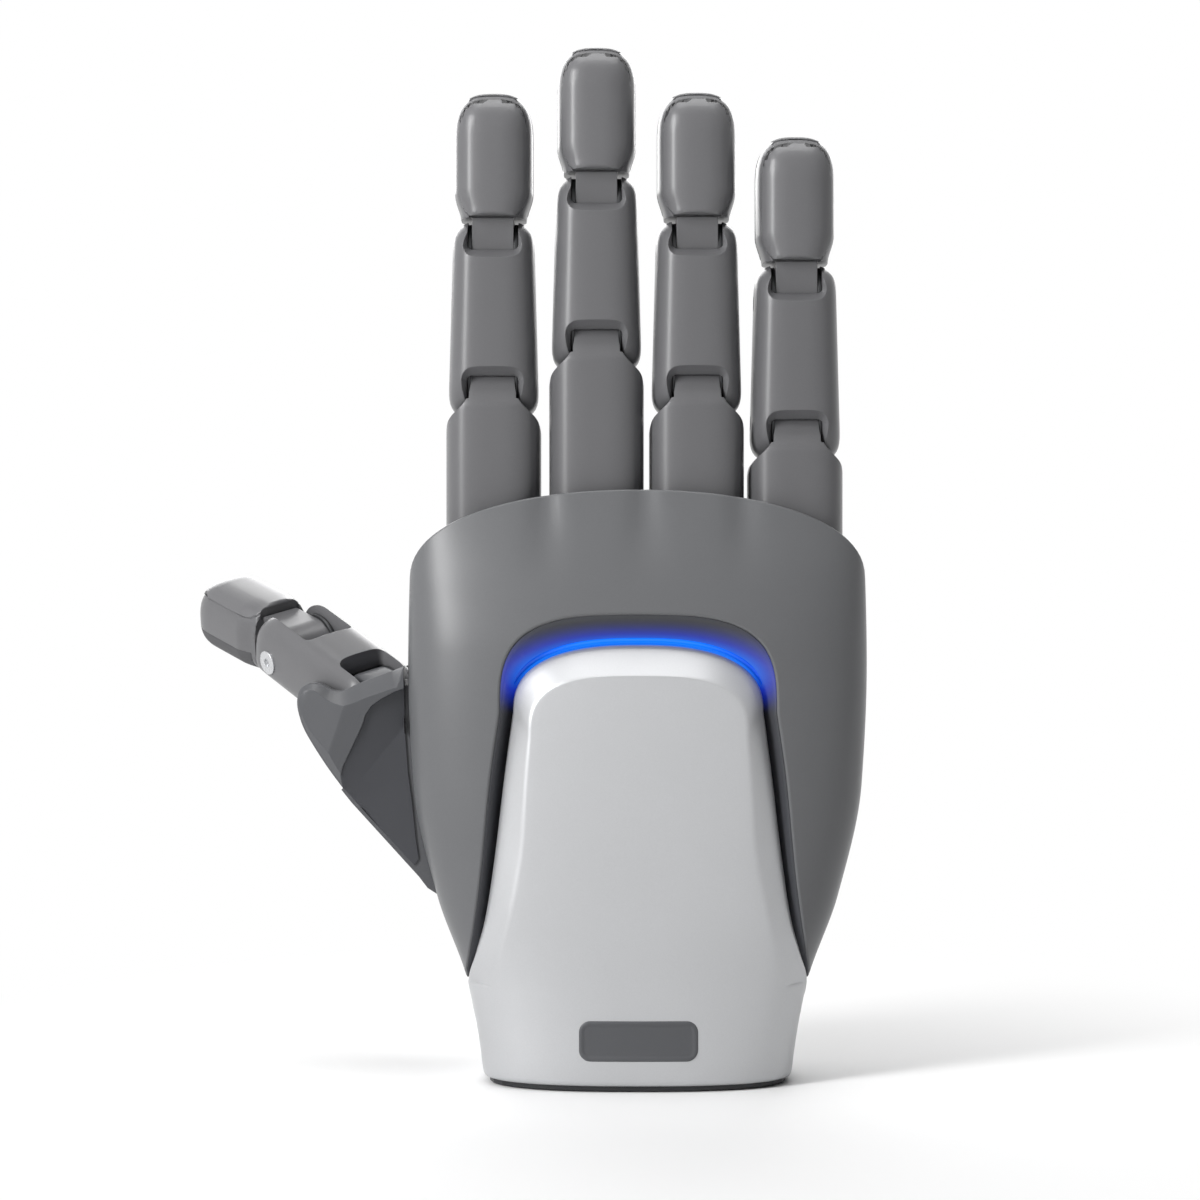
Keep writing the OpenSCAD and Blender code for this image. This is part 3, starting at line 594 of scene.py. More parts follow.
def back_cover():
    """Cover on the back of the hand, round the arch recess, with rolled edges."""
    n_side, n_crown, n_out = 44, 60, 30
    edge_r, wall, foot = 0.45, 1.0, 18.9
    shoulder, shoulder_e = 91, 2.15          # where the cover's sides turn into its top edge
    beyond = 60.0                            # an X outside the hand
    n_side_edge, n_top_edge = 60, 200        # points on the outer edge before it is spaced evenly
    last_turn, least_turn = 0.985, 0.004     # where the cover stops round the side, and its least width
    inner = side_then_crown(ARCH_HW, foot, ARCH_SPRING, ARCH_TOP, ARCH_E, edge_r, n_side, n_crown)
    b = np.linspace(0, np.pi / 2, n_top_edge)
    path = np.concatenate([
        np.stack([np.full(n_side_edge, beyond),
                  np.linspace(ARCH_SPRING, shoulder, n_side_edge, endpoint=False)], axis=-1),
        np.stack([smooth(shoulder, BODY_HW) * np.cos(b).clip(0) ** (2 / shoulder_e),
                  shoulder + (COVER_TOP - edge_r - shoulder) * np.sin(b) ** (2 / shoulder_e)],
                 axis=-1)])
    path[-1, 0] = 0.0
    real = path.copy()
    real[:, 0] = np.minimum(real[:, 0], smooth(real[:, 1], BODY_HW))
    run = np.concatenate([[0], np.cumsum(np.linalg.norm(np.diff(real, axis=0), axis=1))])
    at = np.linspace(0, run[-1], n_crown)
    top = np.stack([np.interp(at, run, path[:, 0]), np.interp(at, run, path[:, 1])], axis=-1)
    outer = np.concatenate([np.stack([np.full(n_side, beyond), inner[:n_side, 1]], axis=-1), top])
    turn_in = hand_turn(inner[:, 0], inner[:, 1])
    turn_out = np.minimum(hand_turn(outer[:, 0], outer[:, 1]), last_turn)
    turn_in = np.minimum(turn_in, turn_out - least_turn)
    turn_in[-1] = turn_out[-1] = 0.0
    v = 0.5 - 0.5 * np.cos(np.linspace(0, np.pi, n_out))
    turn = turn_in[:, None] + (turn_out - turn_in)[:, None] * v
    z = inner[:, 1][:, None] + (outer[:, 1] - inner[:, 1])[:, None] * v
    grid = mirrored(hand_point(turn, z))
    grid[..., 1] += knuckle_dip(grid[..., 0], grid[..., 2])
    normal = unit(np.cross(np.gradient(grid, axis=0), np.gradient(grid, axis=1)))
    normal *= np.where(normal[..., 1:2] > 0.2, -1.0, 1.0)
    end_in = rolled(grid[:, 0], unit(grid[:, 0] - grid[:, 1]), normal[:, 0], edge_r, wall)
    end_out = rolled(grid[:, -1], unit(grid[:, -1] - grid[:, -2]), normal[:, -1], edge_r, wall)
    inside = grid - normal * wall
    rows = [grid[:, k] for k in range(n_out)] + end_out
    rows += [inside[:, k] for k in range(n_out - 1, -1, -4)] + end_in[::-1]
    bm = loops_mesh(np.stack(rows, axis=1))
    piece("back_cover_shell", bm, "dorsal_cover", angle=50)
    bm.free()


def recess_wall():
    """Sloping wall between the back cover and the tongue."""
    n_side, n_crown = 44, 60
    foot, floor, tuck, wall = 19.0, -12.6, 1.4, 2.4
    arch_inset, tongue_inset = 0.06, 0.25    # how far its edges lie inside the two outlines
    sunk, least_deep, narrow = 0.35, 0.8, 1.2
    outer = mirrored(side_then_crown(ARCH_HW, foot, ARCH_SPRING, ARCH_TOP, ARCH_E, -arch_inset,
                                     n_side, n_crown))
    inner = mirrored(side_then_crown(TONGUE_HW, foot, TONGUE_SPRING, TONGUE_TOP, TONGUE_E,
                                     -tongue_inset, n_side, n_crown))
    gap = outer - inner
    tight = np.minimum(1, np.linalg.norm(gap, axis=1) / narrow)[:, None]
    rim_y = hand_y(outer[:, 0], outer[:, 1]) + sunk
    floor_y = np.maximum(floor, rim_y + least_deep)
    slope = ((0.0, 0.0), (0.10, 0.0), (0.16, 0.03), (0.30, 0.16), (0.5, 0.40), (0.7, 0.68),
             (0.85, 0.87), (0.94, 0.97), (1.0, 1.0))
    rows = []
    for u, d in slope:
        flat = outer - gap * u
        rows.append(np.stack([flat[:, 0], rim_y + (floor_y - rim_y) * d, flat[:, 1]], axis=-1))
    low = inner + gap * 0.02 * tight
    rows.append(np.stack([low[:, 0], floor_y + tuck, low[:, 1]], axis=-1))
    rows.append(np.stack([outer[:, 0], np.maximum(rim_y + wall, floor_y + tuck), outer[:, 1]], axis=-1))
    bm = loops_mesh(np.stack(rows, axis=1))
    piece("recess_wall_shell", bm, "arch_bezel", angle=50)
    bm.free()


def light_strip():
    """Light guide along the top of the tongue, tapering down its shoulders."""
    foot, depth, away, thick, deep, taper = 67.2, -13.3, 0.95, 0.55, 0.9, 7
    start, n_side, n_crown, around, centre_z = 66.0, 4, 60, 12, 60
    path = mirrored(side_then_crown(TONGUE_HW, start, TONGUE_SPRING, TONGUE_TOP, TONGUE_E, away,
                                    n_side, n_crown))
    path = path[path[:, 1] > foot]
    centre = np.stack([path[:, 0], np.full(len(path), depth), path[:, 1]], axis=-1)
    outward = unit(np.stack([path[:, 0], 0 * path[:, 0], path[:, 1] - centre_z], axis=-1))
    size = 0.12 + 0.88 * ease((path[:, 1] - foot) / taper)
    rows = []
    for k in range(around):
        a = 2 * np.pi * k / around
        rows.append(centre + outward * (thick * size * math.cos(a))[:, None]
                    + np.array([0, 1, 0]) * (deep * size * math.sin(a))[:, None])
    bm = loops_mesh(np.stack(rows, axis=1))
    piece("light_strip_shell", bm, "status_light", angle=60)
    bm.free()


def quadratic(a, b, c, t):
    """Point of the curve from a to c that b pulls on."""
    return a * (1 - t) ** 2 + b * 2 * t * (1 - t) + c * t * t


def tongue_rows():
    """Rings of the tongue from its skirt in to its middle line, and back along its inner face."""
    n_side, n_crown, foot = 60, 60, 8.0
    skirt_y, skirt_deep = -8.0, 0.5          # the skirt ends here, or this far past the edge
    wall, inner_share = 1.9, 0.95
    edge = mirrored(side_then_crown(TONGUE_HW, foot, TONGUE_SPRING, TONGUE_TOP, TONGUE_E, 0.0,
                                    n_side, n_crown))
    panel = mirrored(side_then_crown(PANEL_HW, foot, PANEL_SPRING, PANEL_TOP, PANEL_E, 0.0,
                                     n_side, n_crown))

    def place(flat, drop):
        y = hand_y(flat[:, 0], flat[:, 1], smooth(flat[:, 1], PANEL_RISE)) + drop
        return np.stack([flat[:, 0], y, flat[:, 1]], axis=-1)

    def narrower(t):
        return place(np.stack([panel[:, 0] * t, panel[:, 1]], axis=-1), 0)

    p_edge = place(edge, smooth(edge[:, 1], BEVEL_DROP))
    p_panel = place(panel, 0)
    p_in = narrower(0.97)
    near_edge = p_panel + (p_edge - p_panel) * 0.86      # the bevel rounds over outside this row
    near_panel = p_panel + (p_edge - p_panel) * 0.13     # and inside this one
    skirt = p_edge.copy()
    skirt[:, 1] = np.maximum(p_edge[:, 1] + skirt_deep, skirt_y)
    skirt_top = p_edge + (skirt - p_edge) * 0.12
    rows = [skirt, skirt_top]
    rows += [quadratic(skirt_top, p_edge, near_edge, t) for t in (0.25, 0.5, 0.75, 1.0)]
    rows += [near_edge + (near_panel - near_edge) * t for t in (0.33, 0.66)]
    rows += [quadratic(near_panel, p_panel, p_in, t) for t in (0.0, 0.2, 0.4, 0.6, 0.8, 1.0)]
    rows += [narrower(t) for t in (0.92, 0.85, 0.75, 0.6, 0.45, 0.3, 0.15, 0.0)]
    inner = [r.copy() for r in rows[::-2]]
    for r in inner:
        r[:, 0] *= inner_share
        r[:, 1] += wall
    inner[-1][:, 1] = skirt[:, 1]
    return rows + inner


def sleeve():
    """Short tube round the wrist, given as (height, how far it lies inside the hand's skin)."""
    a = 2 * np.pi * (np.arange(160) + 0.5) / 160
    profile = [(0.9, 1.6), (0.9, 0.7), (1.05, 0.3), (1.4, 0.08), (2.0, 0.0), (5, 0), (8, 0), (11, 0),
               (14, 0), (17.4, 0), (17.85, 0.05), (18.15, 0.2), (18.3, 0.45), (18.3, 2.0), (10, 2.0),
               (2, 2.0)]
    rings = []
    for z, inset in profile:
        hw = smooth(z, BODY_HW) - inset
        depth = np.where(np.sin(a) > 0, smooth(z, BODY_PALM), smooth(z, BODY_BACK)) - inset
        y = SEAM_Y + depth * power(np.sin(a), 2 / HAND_E)
        rings.append(np.stack([hw * power(np.cos(a), 2 / HAND_E), y, np.full(len(a), z)], axis=-1))
    return loops_mesh(np.stack(rings, axis=0), closed=True)


def wrist_shell():
    """Wrist housing: the sleeve and the tongue up the back of the hand."""
    bm = loops_mesh(np.stack(tongue_rows(), axis=1))
    hidden = [f for f in bm.faces if all(abs(v.co.x) < 1e-3 for v in f.verts)]
    bmesh.ops.delete(bm, geom=hidden, context="FACES")
    bmesh.ops.recalc_face_normals(bm, faces=bm.faces)
    absorb(bm, sleeve())
    piece("wrist_shell", bm, "wrist_housing", angle=40)
    bm.free()


def number_plate():
    """Bare plate let into the back of the sleeve, with a rounded edge."""
    half_w, half_h, corner, z_mid, rise = 10.6, 3.6, 2.0, 9.0, 0.10
    n, count = 10, 160             # steps round a corner, and points round the whole edge

    def outline(inset):
        pts = []
        for cx, cz, start in ((1, 1, 0), (-1, 1, 90), (-1, -1, 180), (1, -1, 270)):
            for k in range(n + 1):
                a = math.radians(start + 90 * k / n)
                pts.append((cx * (half_w - corner) + (corner - inset) * math.cos(a),
                            z_mid + cz * (half_h - corner) + (corner - inset) * math.sin(a)))
        pts = np.array(pts + pts[:1])
        run = np.concatenate([[0], np.cumsum(np.linalg.norm(np.diff(pts, axis=0), axis=1))])
        at = np.linspace(0, run[-1], count, endpoint=False)
        return np.stack([np.interp(at, run, pts[:, 0]), np.interp(at, run, pts[:, 1])], axis=-1)

    def row(p, lift):
        return np.stack([p[:, 0], hand_y(p[:, 0], p[:, 1], lift), p[:, 1]], axis=-1)

    rim = ((0.0, -0.9), (0.0, 0.02), (0.05, 0.12), (0.15, 0.19), (0.3, 0.22), (0.7, 0.22), (0.8, 0.16),
           (1.0, 0.12), (1.2, rise))
    rows = [row(outline(inset), lift) for inset, lift in rim]
    edge = outline(rim[-1][0])
    for t in (0.75, 0.5, 0.25, 0.02):
        rows.append(row(np.stack([edge[:, 0] * t, z_mid + (edge[:, 1] - z_mid) * t], axis=-1), rise))
    bm = loops_mesh(np.stack(rows, axis=0))
    piece("number_plate_shell", bm, "number_plate", angle=60)
    bm.free()


number_plate()
back_cover()
recess_wall()
light_strip()
wrist_shell()
detailed("palm_cover", on_hand, 1.6)


# ---------------------------------------------------------------- fingers

def notch(z_edge, grow, up):
    """Front outline of a fork opening whose floor is at z_edge; up is the side that it opens to."""
    half_w, corner, reach = FORK_W / 2 + grow, 0.9 + grow, 22.0
    a = np.linspace(0, np.pi / 2, 9)
    floor = z_edge - up * grow
    right = np.stack([half_w - corner + corner * np.cos(a), floor + up * corner * (1 - np.sin(a))],
                     axis=-1)
    right = np.concatenate([[[half_w, floor + up * reach]], right])
    left = right[::-1].copy()
    left[:, 0] *= -1
    return np.concatenate([right, left])


def fork_opening(pivot_z, edge, up, rim):
    """Opening of a fork with a slanted rim on the back of the hand, rim times its full width."""
    slant = ((-12.0, 3.7), (-9.0, 1.75), (-7.8, 0.85), (-6.9, 0.22), (-6.5, 0.05), (-6.0, 0.0),
             (0.0, 0.0))
    return depth_loft([(y, notch(pivot_z + edge, grow * rim, up)) for y, grow in slant])


def ear_back(u):
    """Depth of the back of an ear, from its pivot's level at u = 0 to its end at 1."""
    flat = 0.86
    return BACK * math.sqrt(1 - flat * u * u)


def pin_hole(pivot=0.0):
    """Cutter for a hinge pin's hole."""
    return rod(PIN_R, -FAR, FAR, pivot, n=32)


def double_fork(length, hw_low, hw_high, low_edge, high_edge, rim=1.0, pad=True):
    """Link with a fork at each end, whose floors lie low_edge and high_edge above their pivots."""
    neck_room, floor_z, palm_side = 0.6, 5.8, -0.5
    pad_hw, pad_z, pad_deep = 5.2, 6.8, 1
    top = length + EAR_R - 0.3
    z_low = -EAR_R * np.sin(np.linspace(np.pi / 2, 0, 12))
    z_high = length + (top - length) * np.sin(np.linspace(0, np.pi / 2, 12))
    rings = []
    for z in np.concatenate([z_low, np.linspace(0, length, 18)[1:-1], z_high]):
        u = min(1.0, max(-z / EAR_R, (z - length) / (top - length), 0.0))
        hw = (hw_low + (hw_high - hw_low) * z / length) * (1 - 0.3 * u ** 5)
        palm = min(FRONT, EAR_R * math.sqrt(1.0001 - u * u) + 0.3)
        rings.append(section(hw, ear_back(u), palm, z))
    bm = loops_mesh(np.stack(rings))
    for pivot, up, edge in ((0.0, -1, low_edge), (length, 1, high_edge)):
        bm = joined(bm, rod(NECK_R + neck_room, -FORK_W / 2, FORK_W / 2, pivot))
        bm = joined(bm, fork_opening(pivot, edge, up, rim))
        lo, hi = sorted((pivot + up * FAR, pivot - up * max(floor_z, -up * edge)))
        bm = joined(bm, block((-FORK_W / 2, palm_side, lo), (FORK_W / 2, FAR, hi)))
        bm = joined(bm, pin_hole(pivot))
    if pad:
        bm = joined(bm, block((-pad_hw, FRONT - pad_deep, pad_z), (pad_hw, FAR, length - pad_z)))
    return bm


def swing_room(pivot):
    """Room beside a neck in which the ears of the next link turn."""
    least, most, play = 7.42, 9.6, 0.34      # radii that the sweep covers, and the gap it leaves
    rows = []
    for t in np.radians(np.linspace(-100, 90, 39)):
        turn = least
        for r in np.linspace(least, most, 60):
            y, z = -r * math.sin(t), -r * math.cos(t)
            inside = z > -EAR_R and -y < ear_back(min(1, max(0, -z / EAR_R)))
            if inside and t > 0:
                turn = r + play
        rows.append((-turn * math.sin(t), -turn * math.cos(t)))
    profile = np.array(rows + [(-11.0, 0.5), (-11.0, 14.0), (9.0, 14.0)])
    y, z = profile[:, 0], profile[:, 1] + pivot
    sides = [loops_mesh(np.stack([np.stack([np.full(len(y), x), y, z], axis=-1) for x in ends]))
             for ends in ((NECK_W / 2 + 0.3, 12.0), (-12.0, -NECK_W / 2 - 0.3))]
    return joined(*sides, "UNION")


def shoulder_outline(grow):
    """Front outline of the lowest link's shoulders and neck, from bottom right to bottom left."""
    p = PROXIMAL_LEN
    rows = [[p - 13.5, 9.4], [p - 11, 8.86], [p - 9.4, 8.66], [p - 8.2, 8.4], [p - 7.4, 7.95],
            [p - 6.6, 7.2], [p - 5.9, 6.45], [p - 4.9, 5.5], [p - 4.0, 4.85], [p - 2.9, 4.35],
            [p - 1.2, 4.06], [p + 0.9, 4.0]]
    z = np.linspace(rows[0][0], rows[-1][0], 46)
    half = np.stack([smooth(z, rows), z], axis=-1)
    half = np.concatenate([[[12.0, -30.0], [12.0, p - 14.5]], half])
    along = np.gradient(half, axis=0)
    normal = unit(np.stack([along[:, 1], -along[:, 0]], axis=-1))
    half = half + normal * grow
    left = half[::-1].copy()
    left[:, 0] *= -1
    return np.concatenate([half, left])


def proximal():
    """Lowest link: ears round the knuckle below, swept shoulders and a neck above."""
    p = PROXIMAL_LEN
    ear_r, ear_thick, knuckle_r = 6.5, 1.45, 7.1
    cheek_back, cheek_palm, cheek_top = -3.4, 2.6, 6
    crease = [[p - 5.6, BACK], [p - 5.1, BACK - 0.04], [p - 4.6, BACK - 0.22], [p - 4.0, BACK - 0.5],
              [p - 1.5, BACK - 1.75], [p + 0.3, NECK_R + 0.1]]
    rings = []
    for z in np.concatenate([np.linspace(4, p - 6, 26), np.linspace(p - 5.8, p + 0.3, 20)]):
        rings.append(section(PROXIMAL_HW, float(smooth(z, crease)), FRONT, z))
    bm = loops_mesh(np.stack(rings))
    rim = [(-12.0, -1.6), (-9.05, -0.55), (-8.7, -0.3), (-8.4, -0.1), (-8.0, 0.0), (9.0, 0.0)]
    bm = joined(bm, depth_loft([(y, shoulder_outline(g)) for y, g in rim]), "INTERSECT")
    bm = joined(bm, swing_room(p))
    bm = joined(bm, rod(NECK_R, -NECK_W / 2, NECK_W / 2, p, 0.25), "UNION")
    ear_in = PROXIMAL_HW - ear_thick
    for x0, x1 in ((ear_in, PROXIMAL_HW), (-PROXIMAL_HW, -ear_in)):
        bm = joined(bm, rod(ear_r, x0, x1), "UNION")
        bm = joined(bm, block((x0, cheek_back, 0.0), (x1, cheek_palm, cheek_top)), "UNION")
    bm = joined(bm, rod(knuckle_r, -ear_in, ear_in))
    bm = joined(bm, block((-ear_in, 0, -8), (ear_in, 8, knuckle_r)))
    return joined(bm, pin_hole())


def chin_outline(drop):
    """Front outline below the lower edge of the end link's back, with its raised corners."""
    edge = np.array([[9.0, 12.2], [7.3, 10.6], [6.6, 9.9], [4.6, 8.0], [4.0, 7.8], [3.0, 7.76],
                     [0.0, 7.74]])
    edge[:, 1] -= drop
    left = edge[::-1][1:].copy()
    left[:, 0] *= -1
    return np.concatenate([[[9.0, -3.0]], edge, left, [[-9.0, -3.0]]])


def chin_cut():
    """What the end links lose below their chin and between their ears."""
    skin_y, slope = -8.2, 0.62
    cut = depth_loft([(y, chin_outline((y - skin_y) * slope)) for y in (-12.0, skin_y, -6.0, -3.6)])
    return joined(cut, block((-NECK_W / 2 + 0.15, -NECK_R + 0.1, -5), (NECK_W / 2 - 0.15, 5, 12)))


def spacers(name, node, local, length):
    """Dark bearing washers in the gaps between the necks and the fork ears of a link."""
    radius, rim, palm_y = NECK_R + 0.45, 0.12, 4.4
    outer = FORK_W / 2 - 0.03
    bm = bmesh.new()
    for pivot, inner in ((0.0, NECK_W / 2 + 0.03), (length, NECK_W / 2 - 0.17)):
        for x0, x1 in ((inner, outer), (-outer, -inner)):
            beyond = block((-FAR, palm_y, pivot - FAR), (FAR, FAR, pivot + FAR))
            absorb(bm, joined(rod(radius, x0, x1, pivot, rim), beyond))
    piece(name, bm, node, local, "flange_black", 40, extra=True)
    bm.free()


def trimmed(node, place, step, local):
    """A piece of an end link, with the slanted chin cut into its lower edge."""
    bm = sliced(node, step, local)
    move_points(bm, place)
    bm = joined(bm, chin_cut())
    piece(node + "_shell", bm, node, local)
    bm.free()


def slab(point, normal):
    """Everything on one side of a plane, as a closed block."""
    size = 60.0
    bm = block((-size, -size, 0.0), (size, size, size))
    turn = Vector(normal).to_track_quat("Z", "Y").to_matrix().to_4x4()
    bm.transform(Matrix.Translation(point) @ turn)
    return bm


def plane_through(a, b, c):
    """Point and normal of the plane through three points, with the normal to the back of the hand."""
    a, b, c = Vector(a), Vector(b), Vector(c)
    normal = (b - a).cross(c - a).normalized()
    return a, (normal if normal.y < 0 else -normal)


# front outline of the thumb's base and of the panel in it, as (x, z)
THUMB_TOP = ((-54.0, 53.0), (-56.8, 56.8), (-59.4, 60.8), (-61.2, 64.0), (-62.2, 67.0), (-62.4, 69.2),
             (-61.9, 71.0), (-60.7, 72.0), (-59.1, 72.3), (-57.5, 71.8), (-56.0, 71.1), (-54.6, 70.9),
             (-53.0, 71.3), (-51.4, 72.1), (-48.0, 73.4), (-45.0, 74.5))
THUMB_PANEL = ((-42.6, 71.4), (-44.5, 70.7), (-47.0, 69.3), (-48.6, 68.1), (-49.6, 66.6), (-50.3, 64.5),
               (-52.2, 60.5), (-53.8, 57.2), (-54.3, 55.4), (-54.0, 53.2), (-49.3, 48.0), (-43.8, 42.0),
               (-40.9, 38.9), (-40.0, 40.0), (-40.6, 44.0), (-41.2, 50.0), (-42.0, 56.0), (-42.6, 64.0))
# three points on each plane that the front wall and the panel are cut to
THUMB_FACETS = (((-53.0, -7.7, 70.0), (-56.9, -6.2, 57.0), (-62.4, -4.9, 69.0)),
                ((-51.7, -7.7, 70.0), (-55.3, -6.0, 56.0), (-50.0, -7.7, 70.0)))
PANEL_FACET = ((-49.6, -6.9, 67.0), (-54.0, -5.4, 54.0), (-42.6, -5.3, 68.0))


def curve_through(points, count):
    """Smooth open curve through points, evenly spaced."""
    p = np.array(points, float)
    p = np.concatenate([[2 * p[0] - p[1]], p, [2 * p[-1] - p[-2]]])
    out = []
    for k in range(1, len(p) - 2):
        for t in np.linspace(0, 1, 12, endpoint=False):
            out.append(0.5 * (2 * p[k] + (p[k + 1] - p[k - 1]) * t
                              + (2 * p[k - 1] - 5 * p[k] + 4 * p[k + 1] - p[k + 2]) * t * t
                              + (3 * p[k] - p[k - 1] - 3 * p[k + 1] + p[k + 2]) * t ** 3))
    out = np.array(out + [p[-2]])
    run = np.concatenate([[0], np.cumsum(np.linalg.norm(np.diff(out, axis=0), axis=1))])
    at = np.linspace(0, run[-1], count)
    return np.stack([np.interp(at, run, out[:, 0]), np.interp(at, run, out[:, 1])], axis=-1)


def thumb_outline(grow, right, low):
    """Front outline of the thumb's base; right and low close it towards the hand."""
    top = curve_through(THUMB_TOP, 84)
    along = np.gradient(top, axis=0)
    top = top + unit(np.stack([-along[:, 1], along[:, 0]], axis=-1)) * grow
    return np.concatenate([top, right, low])


def thumb_base():
    """Thumb base: its CAD solid trimmed to the curved top edge, and a faceted front wall before it."""
    bm = sliced("thumb_metacarpal", 4.0)
    trim = thumb_outline(0.0, [(-42.0, 75.6), (-18.0, 76.5)],
                         [(-18.0, 28.0), (-60.0, 28.0), (-60.0, 47.0)])
    bm = joined(bm, depth_loft([(-9.0, trim), (24.0, trim)]), "INTERSECT")
    right = [(-42.6, 75.4), (-42.6, 66.0), (-42.4, 58.0), (-41.7, 52.0), (-41.2, 47.0), (-41.0, 42.0)]
    low = [(-43.8, 41.9), (-49.3, 47.9)]
    rim = ((-8.4, -3.4), (-7.6, -2.9), (-7.0, -2.3), (-5.4, -0.9), (-4.7, -0.3), (-4.3, 0.0),
           (-3.95, 0.0))
    front = depth_loft([(y, thumb_outline(grow, right, low)) for y, grow in rim])
    for facet in THUMB_FACETS:
        front = joined(front, slab(*plane_through(*facet)))
    edge = np.array(THUMB_PANEL)
    front = joined(front, depth_loft([(-12.0, edge), (-3.0, edge)]))
    bm = joined(bm, front, "UNION")
    neck = ((-8.5, 7.9), (-4.0, 7.9), (-1.5, 7.8), (0.0, 7.6), (1.2, 7.2), (2.2, 6.5), (2.7, 5.8))
    neck = loops_mesh(np.stack([section(NECK_W / 2, back, 1.0, z, 6) for z, back in neck]))
    neck.transform(Matrix.Translation(THUMB.to_translation() / MM) @ THUMB.to_3x3().to_4x4())
    bm = joined(bm, neck, "UNION")
    # The darker plate finish on the thumb base is painted shade: it darkens the base to the shade that
    # falls on its faces.
    piece("thumb_base_shell", bm, "thumb_metacarpal", slot="plate_dark", angle=24)
    bm.free()
    panel = joined(depth_loft([(-12.0, edge), (-4.2, edge)]), slab(*plane_through(*PANEL_FACET)))
    panel = joined(panel, depth_loft([(-4.7, edge), (-4.2, edge)]), "UNION")
    # The dark bezel finish on the thumb panel is painted shade, for the shade that the panel lies in.
    piece("thumb_panel_shell", panel, "thumb_metacarpal", slot="bezel_dark", angle=24)
    panel.free()


def end_link(finger, pad, length, local, nail_grow, pad_grow):
    """End link of a finger, with its back plate and pad standing out by nail_grow and pad_grow."""
    trimmed(finger + "_distal", on_tip(length), 0.9, local)
    trimmed(finger + "_nail_plate", on_tip(length, nail_grow), 0.8, local)
    detailed(finger + pad, on_tip(length, pad_grow), 0.8, local)


PROXIMAL = proximal()
MIDDLE = double_fork(MIDDLE_LEN, 8.2, 7.6, 0.2, 1.4)
THUMB_LINK = double_fork(THUMB_LINK_LEN, 7.9, 7.8, 4.1, -8.7, 0.5, False)
for f in FINGERS:
    piece(f + "_proximal_shell", PROXIMAL, f + "_proximal", local_frame(f + "_mcp"))
    middle = local_frame(f + "_mcp", PROXIMAL_LEN)
    piece(f + "_middle_shell", MIDDLE, f + "_middle", middle)
    spacers(f + "_spacers", f + "_middle", middle, MIDDLE_LEN)
    distal = local_frame(f + "_mcp", PROXIMAL_LEN + MIDDLE_LEN)
    end_link(f, "_fingertip_pad", DISTAL_LEN, distal, 0.25, 0.1)
thumb_base()
piece("thumb_proximal_shell", THUMB_LINK, "thumb_proximal", THUMB)
spacers("thumb_spacers", "thumb_proximal", THUMB, THUMB_LINK_LEN)
end_link("thumb", "_tip_pad", THUMB_TIP_LEN, THUMB_TIP, 0.18, 0.0)


# ---------------------------------------------------------------- stage, lights and camera, in metres

def floor_plane(size, z):
    """Square floor, size wide, at height z."""
    s = size / 2
    mesh = bpy.data.meshes.new("floor")
    mesh.from_pydata([(-s, -s, 0), (s, -s, 0), (s, s, 0), (-s, s, 0)], [], [(0, 1, 2, 3)])
    obj = bpy.data.objects.new("floor", mesh)
    obj.location = (0, 0, z)
    bpy.context.scene.collection.objects.link(obj)
    return obj


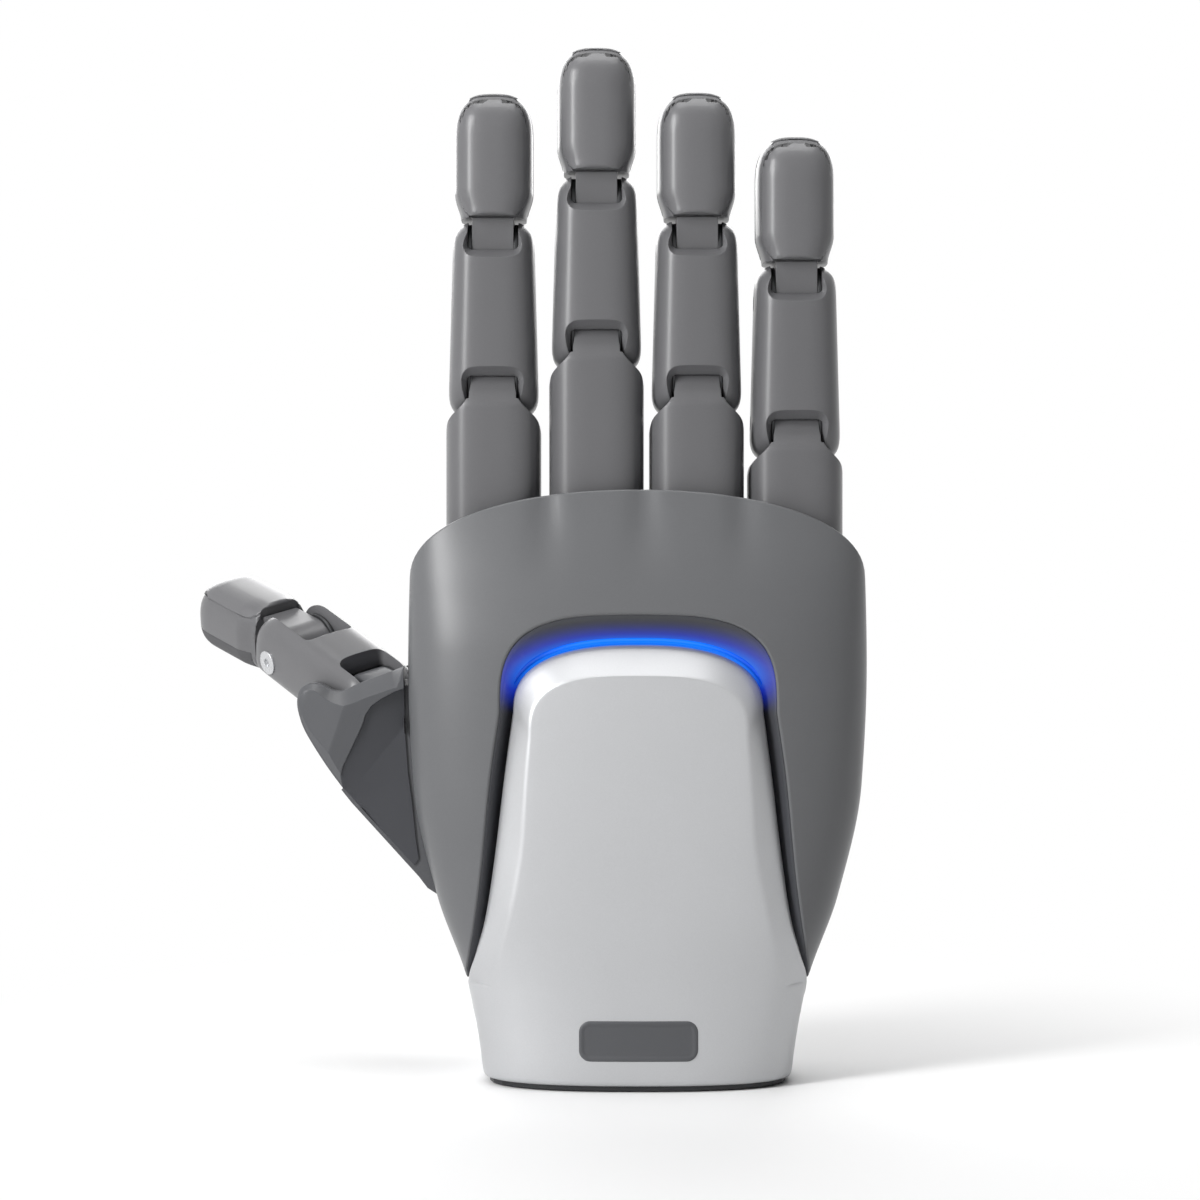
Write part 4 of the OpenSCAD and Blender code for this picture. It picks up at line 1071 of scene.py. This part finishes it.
def floor_material():
    """White paper that keeps the part's shadow near it and turns plain white further out."""
    mat = bpy.data.materials.new("floor_white")
    mat.use_nodes = True
    nt = mat.node_tree
    nodes, links = nt.nodes, nt.links
    bsdf = nodes["Principled BSDF"]
    bsdf.inputs["Base Color"].default_value = (0.92, 0.92, 0.92, 1)
    bsdf.inputs["Roughness"].default_value = 0.75
    glow = nodes.new("ShaderNodeEmission")
    glow.inputs["Color"].default_value = (1, 1, 1, 1)
    coord = nodes.new("ShaderNodeTexCoord")
    squash = nodes.new("ShaderNodeMapping")
    squash.inputs["Scale"].default_value = (1.0, 0.8, 1.0)
    links.new(coord.outputs["Object"], squash.inputs["Vector"])
    distance = nodes.new("ShaderNodeVectorMath")
    distance.operation = "LENGTH"
    links.new(squash.outputs["Vector"], distance.inputs[0])
    fade = range_node(nt, distance.outputs["Value"], source=(0.04, 0.16), smooth_step=True)
    mix = nodes.new("ShaderNodeMixShader")
    links.new(math_node(nt, "MULTIPLY", fade, seen_directly(nt)), mix.inputs["Fac"])
    links.new(bsdf.outputs["BSDF"], mix.inputs[1])
    links.new(glow.outputs["Emission"], mix.inputs[2])
    links.new(mix.outputs["Shader"], nodes["Material Output"].inputs["Surface"])
    return mat


def set_world(ambient):
    """White where it is seen directly, and a faint ambient light on the part."""
    world = bpy.data.worlds.new("studio")
    bpy.context.scene.world = world
    world.use_nodes = True
    nt = world.node_tree
    back = nt.nodes["Background"]
    back.inputs["Color"].default_value = (1, 1, 1, 1)
    nt.links.new(range_node(nt, seen_directly(nt), target=(ambient, 1.0)), back.inputs["Strength"])


def area_light(name, location, size, power):
    """Rectangular lamp that faces the middle of the hand."""
    data = bpy.data.lights.new(name, "AREA")
    data.shape = "RECTANGLE"
    data.size, data.size_y = size
    data.energy = power
    obj = bpy.data.objects.new(name, data)
    obj.location = location
    aim = Vector((0, 0, 0.1)) - Vector(location)
    obj.rotation_euler = aim.to_track_quat("-Z", "Y").to_euler()
    bpy.context.scene.collection.objects.link(obj)


def set_camera(location, lens):
    """Level camera that looks along +Y at the back of the hand."""
    data = bpy.data.cameras.new("camera")
    data.sensor_width = 36
    data.lens = lens
    data.clip_start = 0.01
    obj = bpy.data.objects.new("camera", data)
    obj.location = location
    obj.rotation_euler = (math.radians(90), 0, 0)
    bpy.context.scene.collection.objects.link(obj)
    bpy.context.scene.camera = obj


floor = floor_plane(8.0, -0.0002)
floor.data.materials.append(floor_material())
set_world(0.02)
area_light("key", (-0.70, -0.56, 0.52), (0.2, 0.7), 9.6)
area_light("fill", (-0.25, -0.95, 0.45), (0.6, 0.6), 0.4)
area_light("top", (0.0, -0.05, 0.85), (0.6, 0.4), 3.2)
area_light("rear", (-0.1, 0.75, 0.5), (0.9, 0.5), 5.0)
set_camera((-0.00685, -0.510, 0.0875), 82.7)
bpy.context.scene.view_settings.view_transform = "Standard"
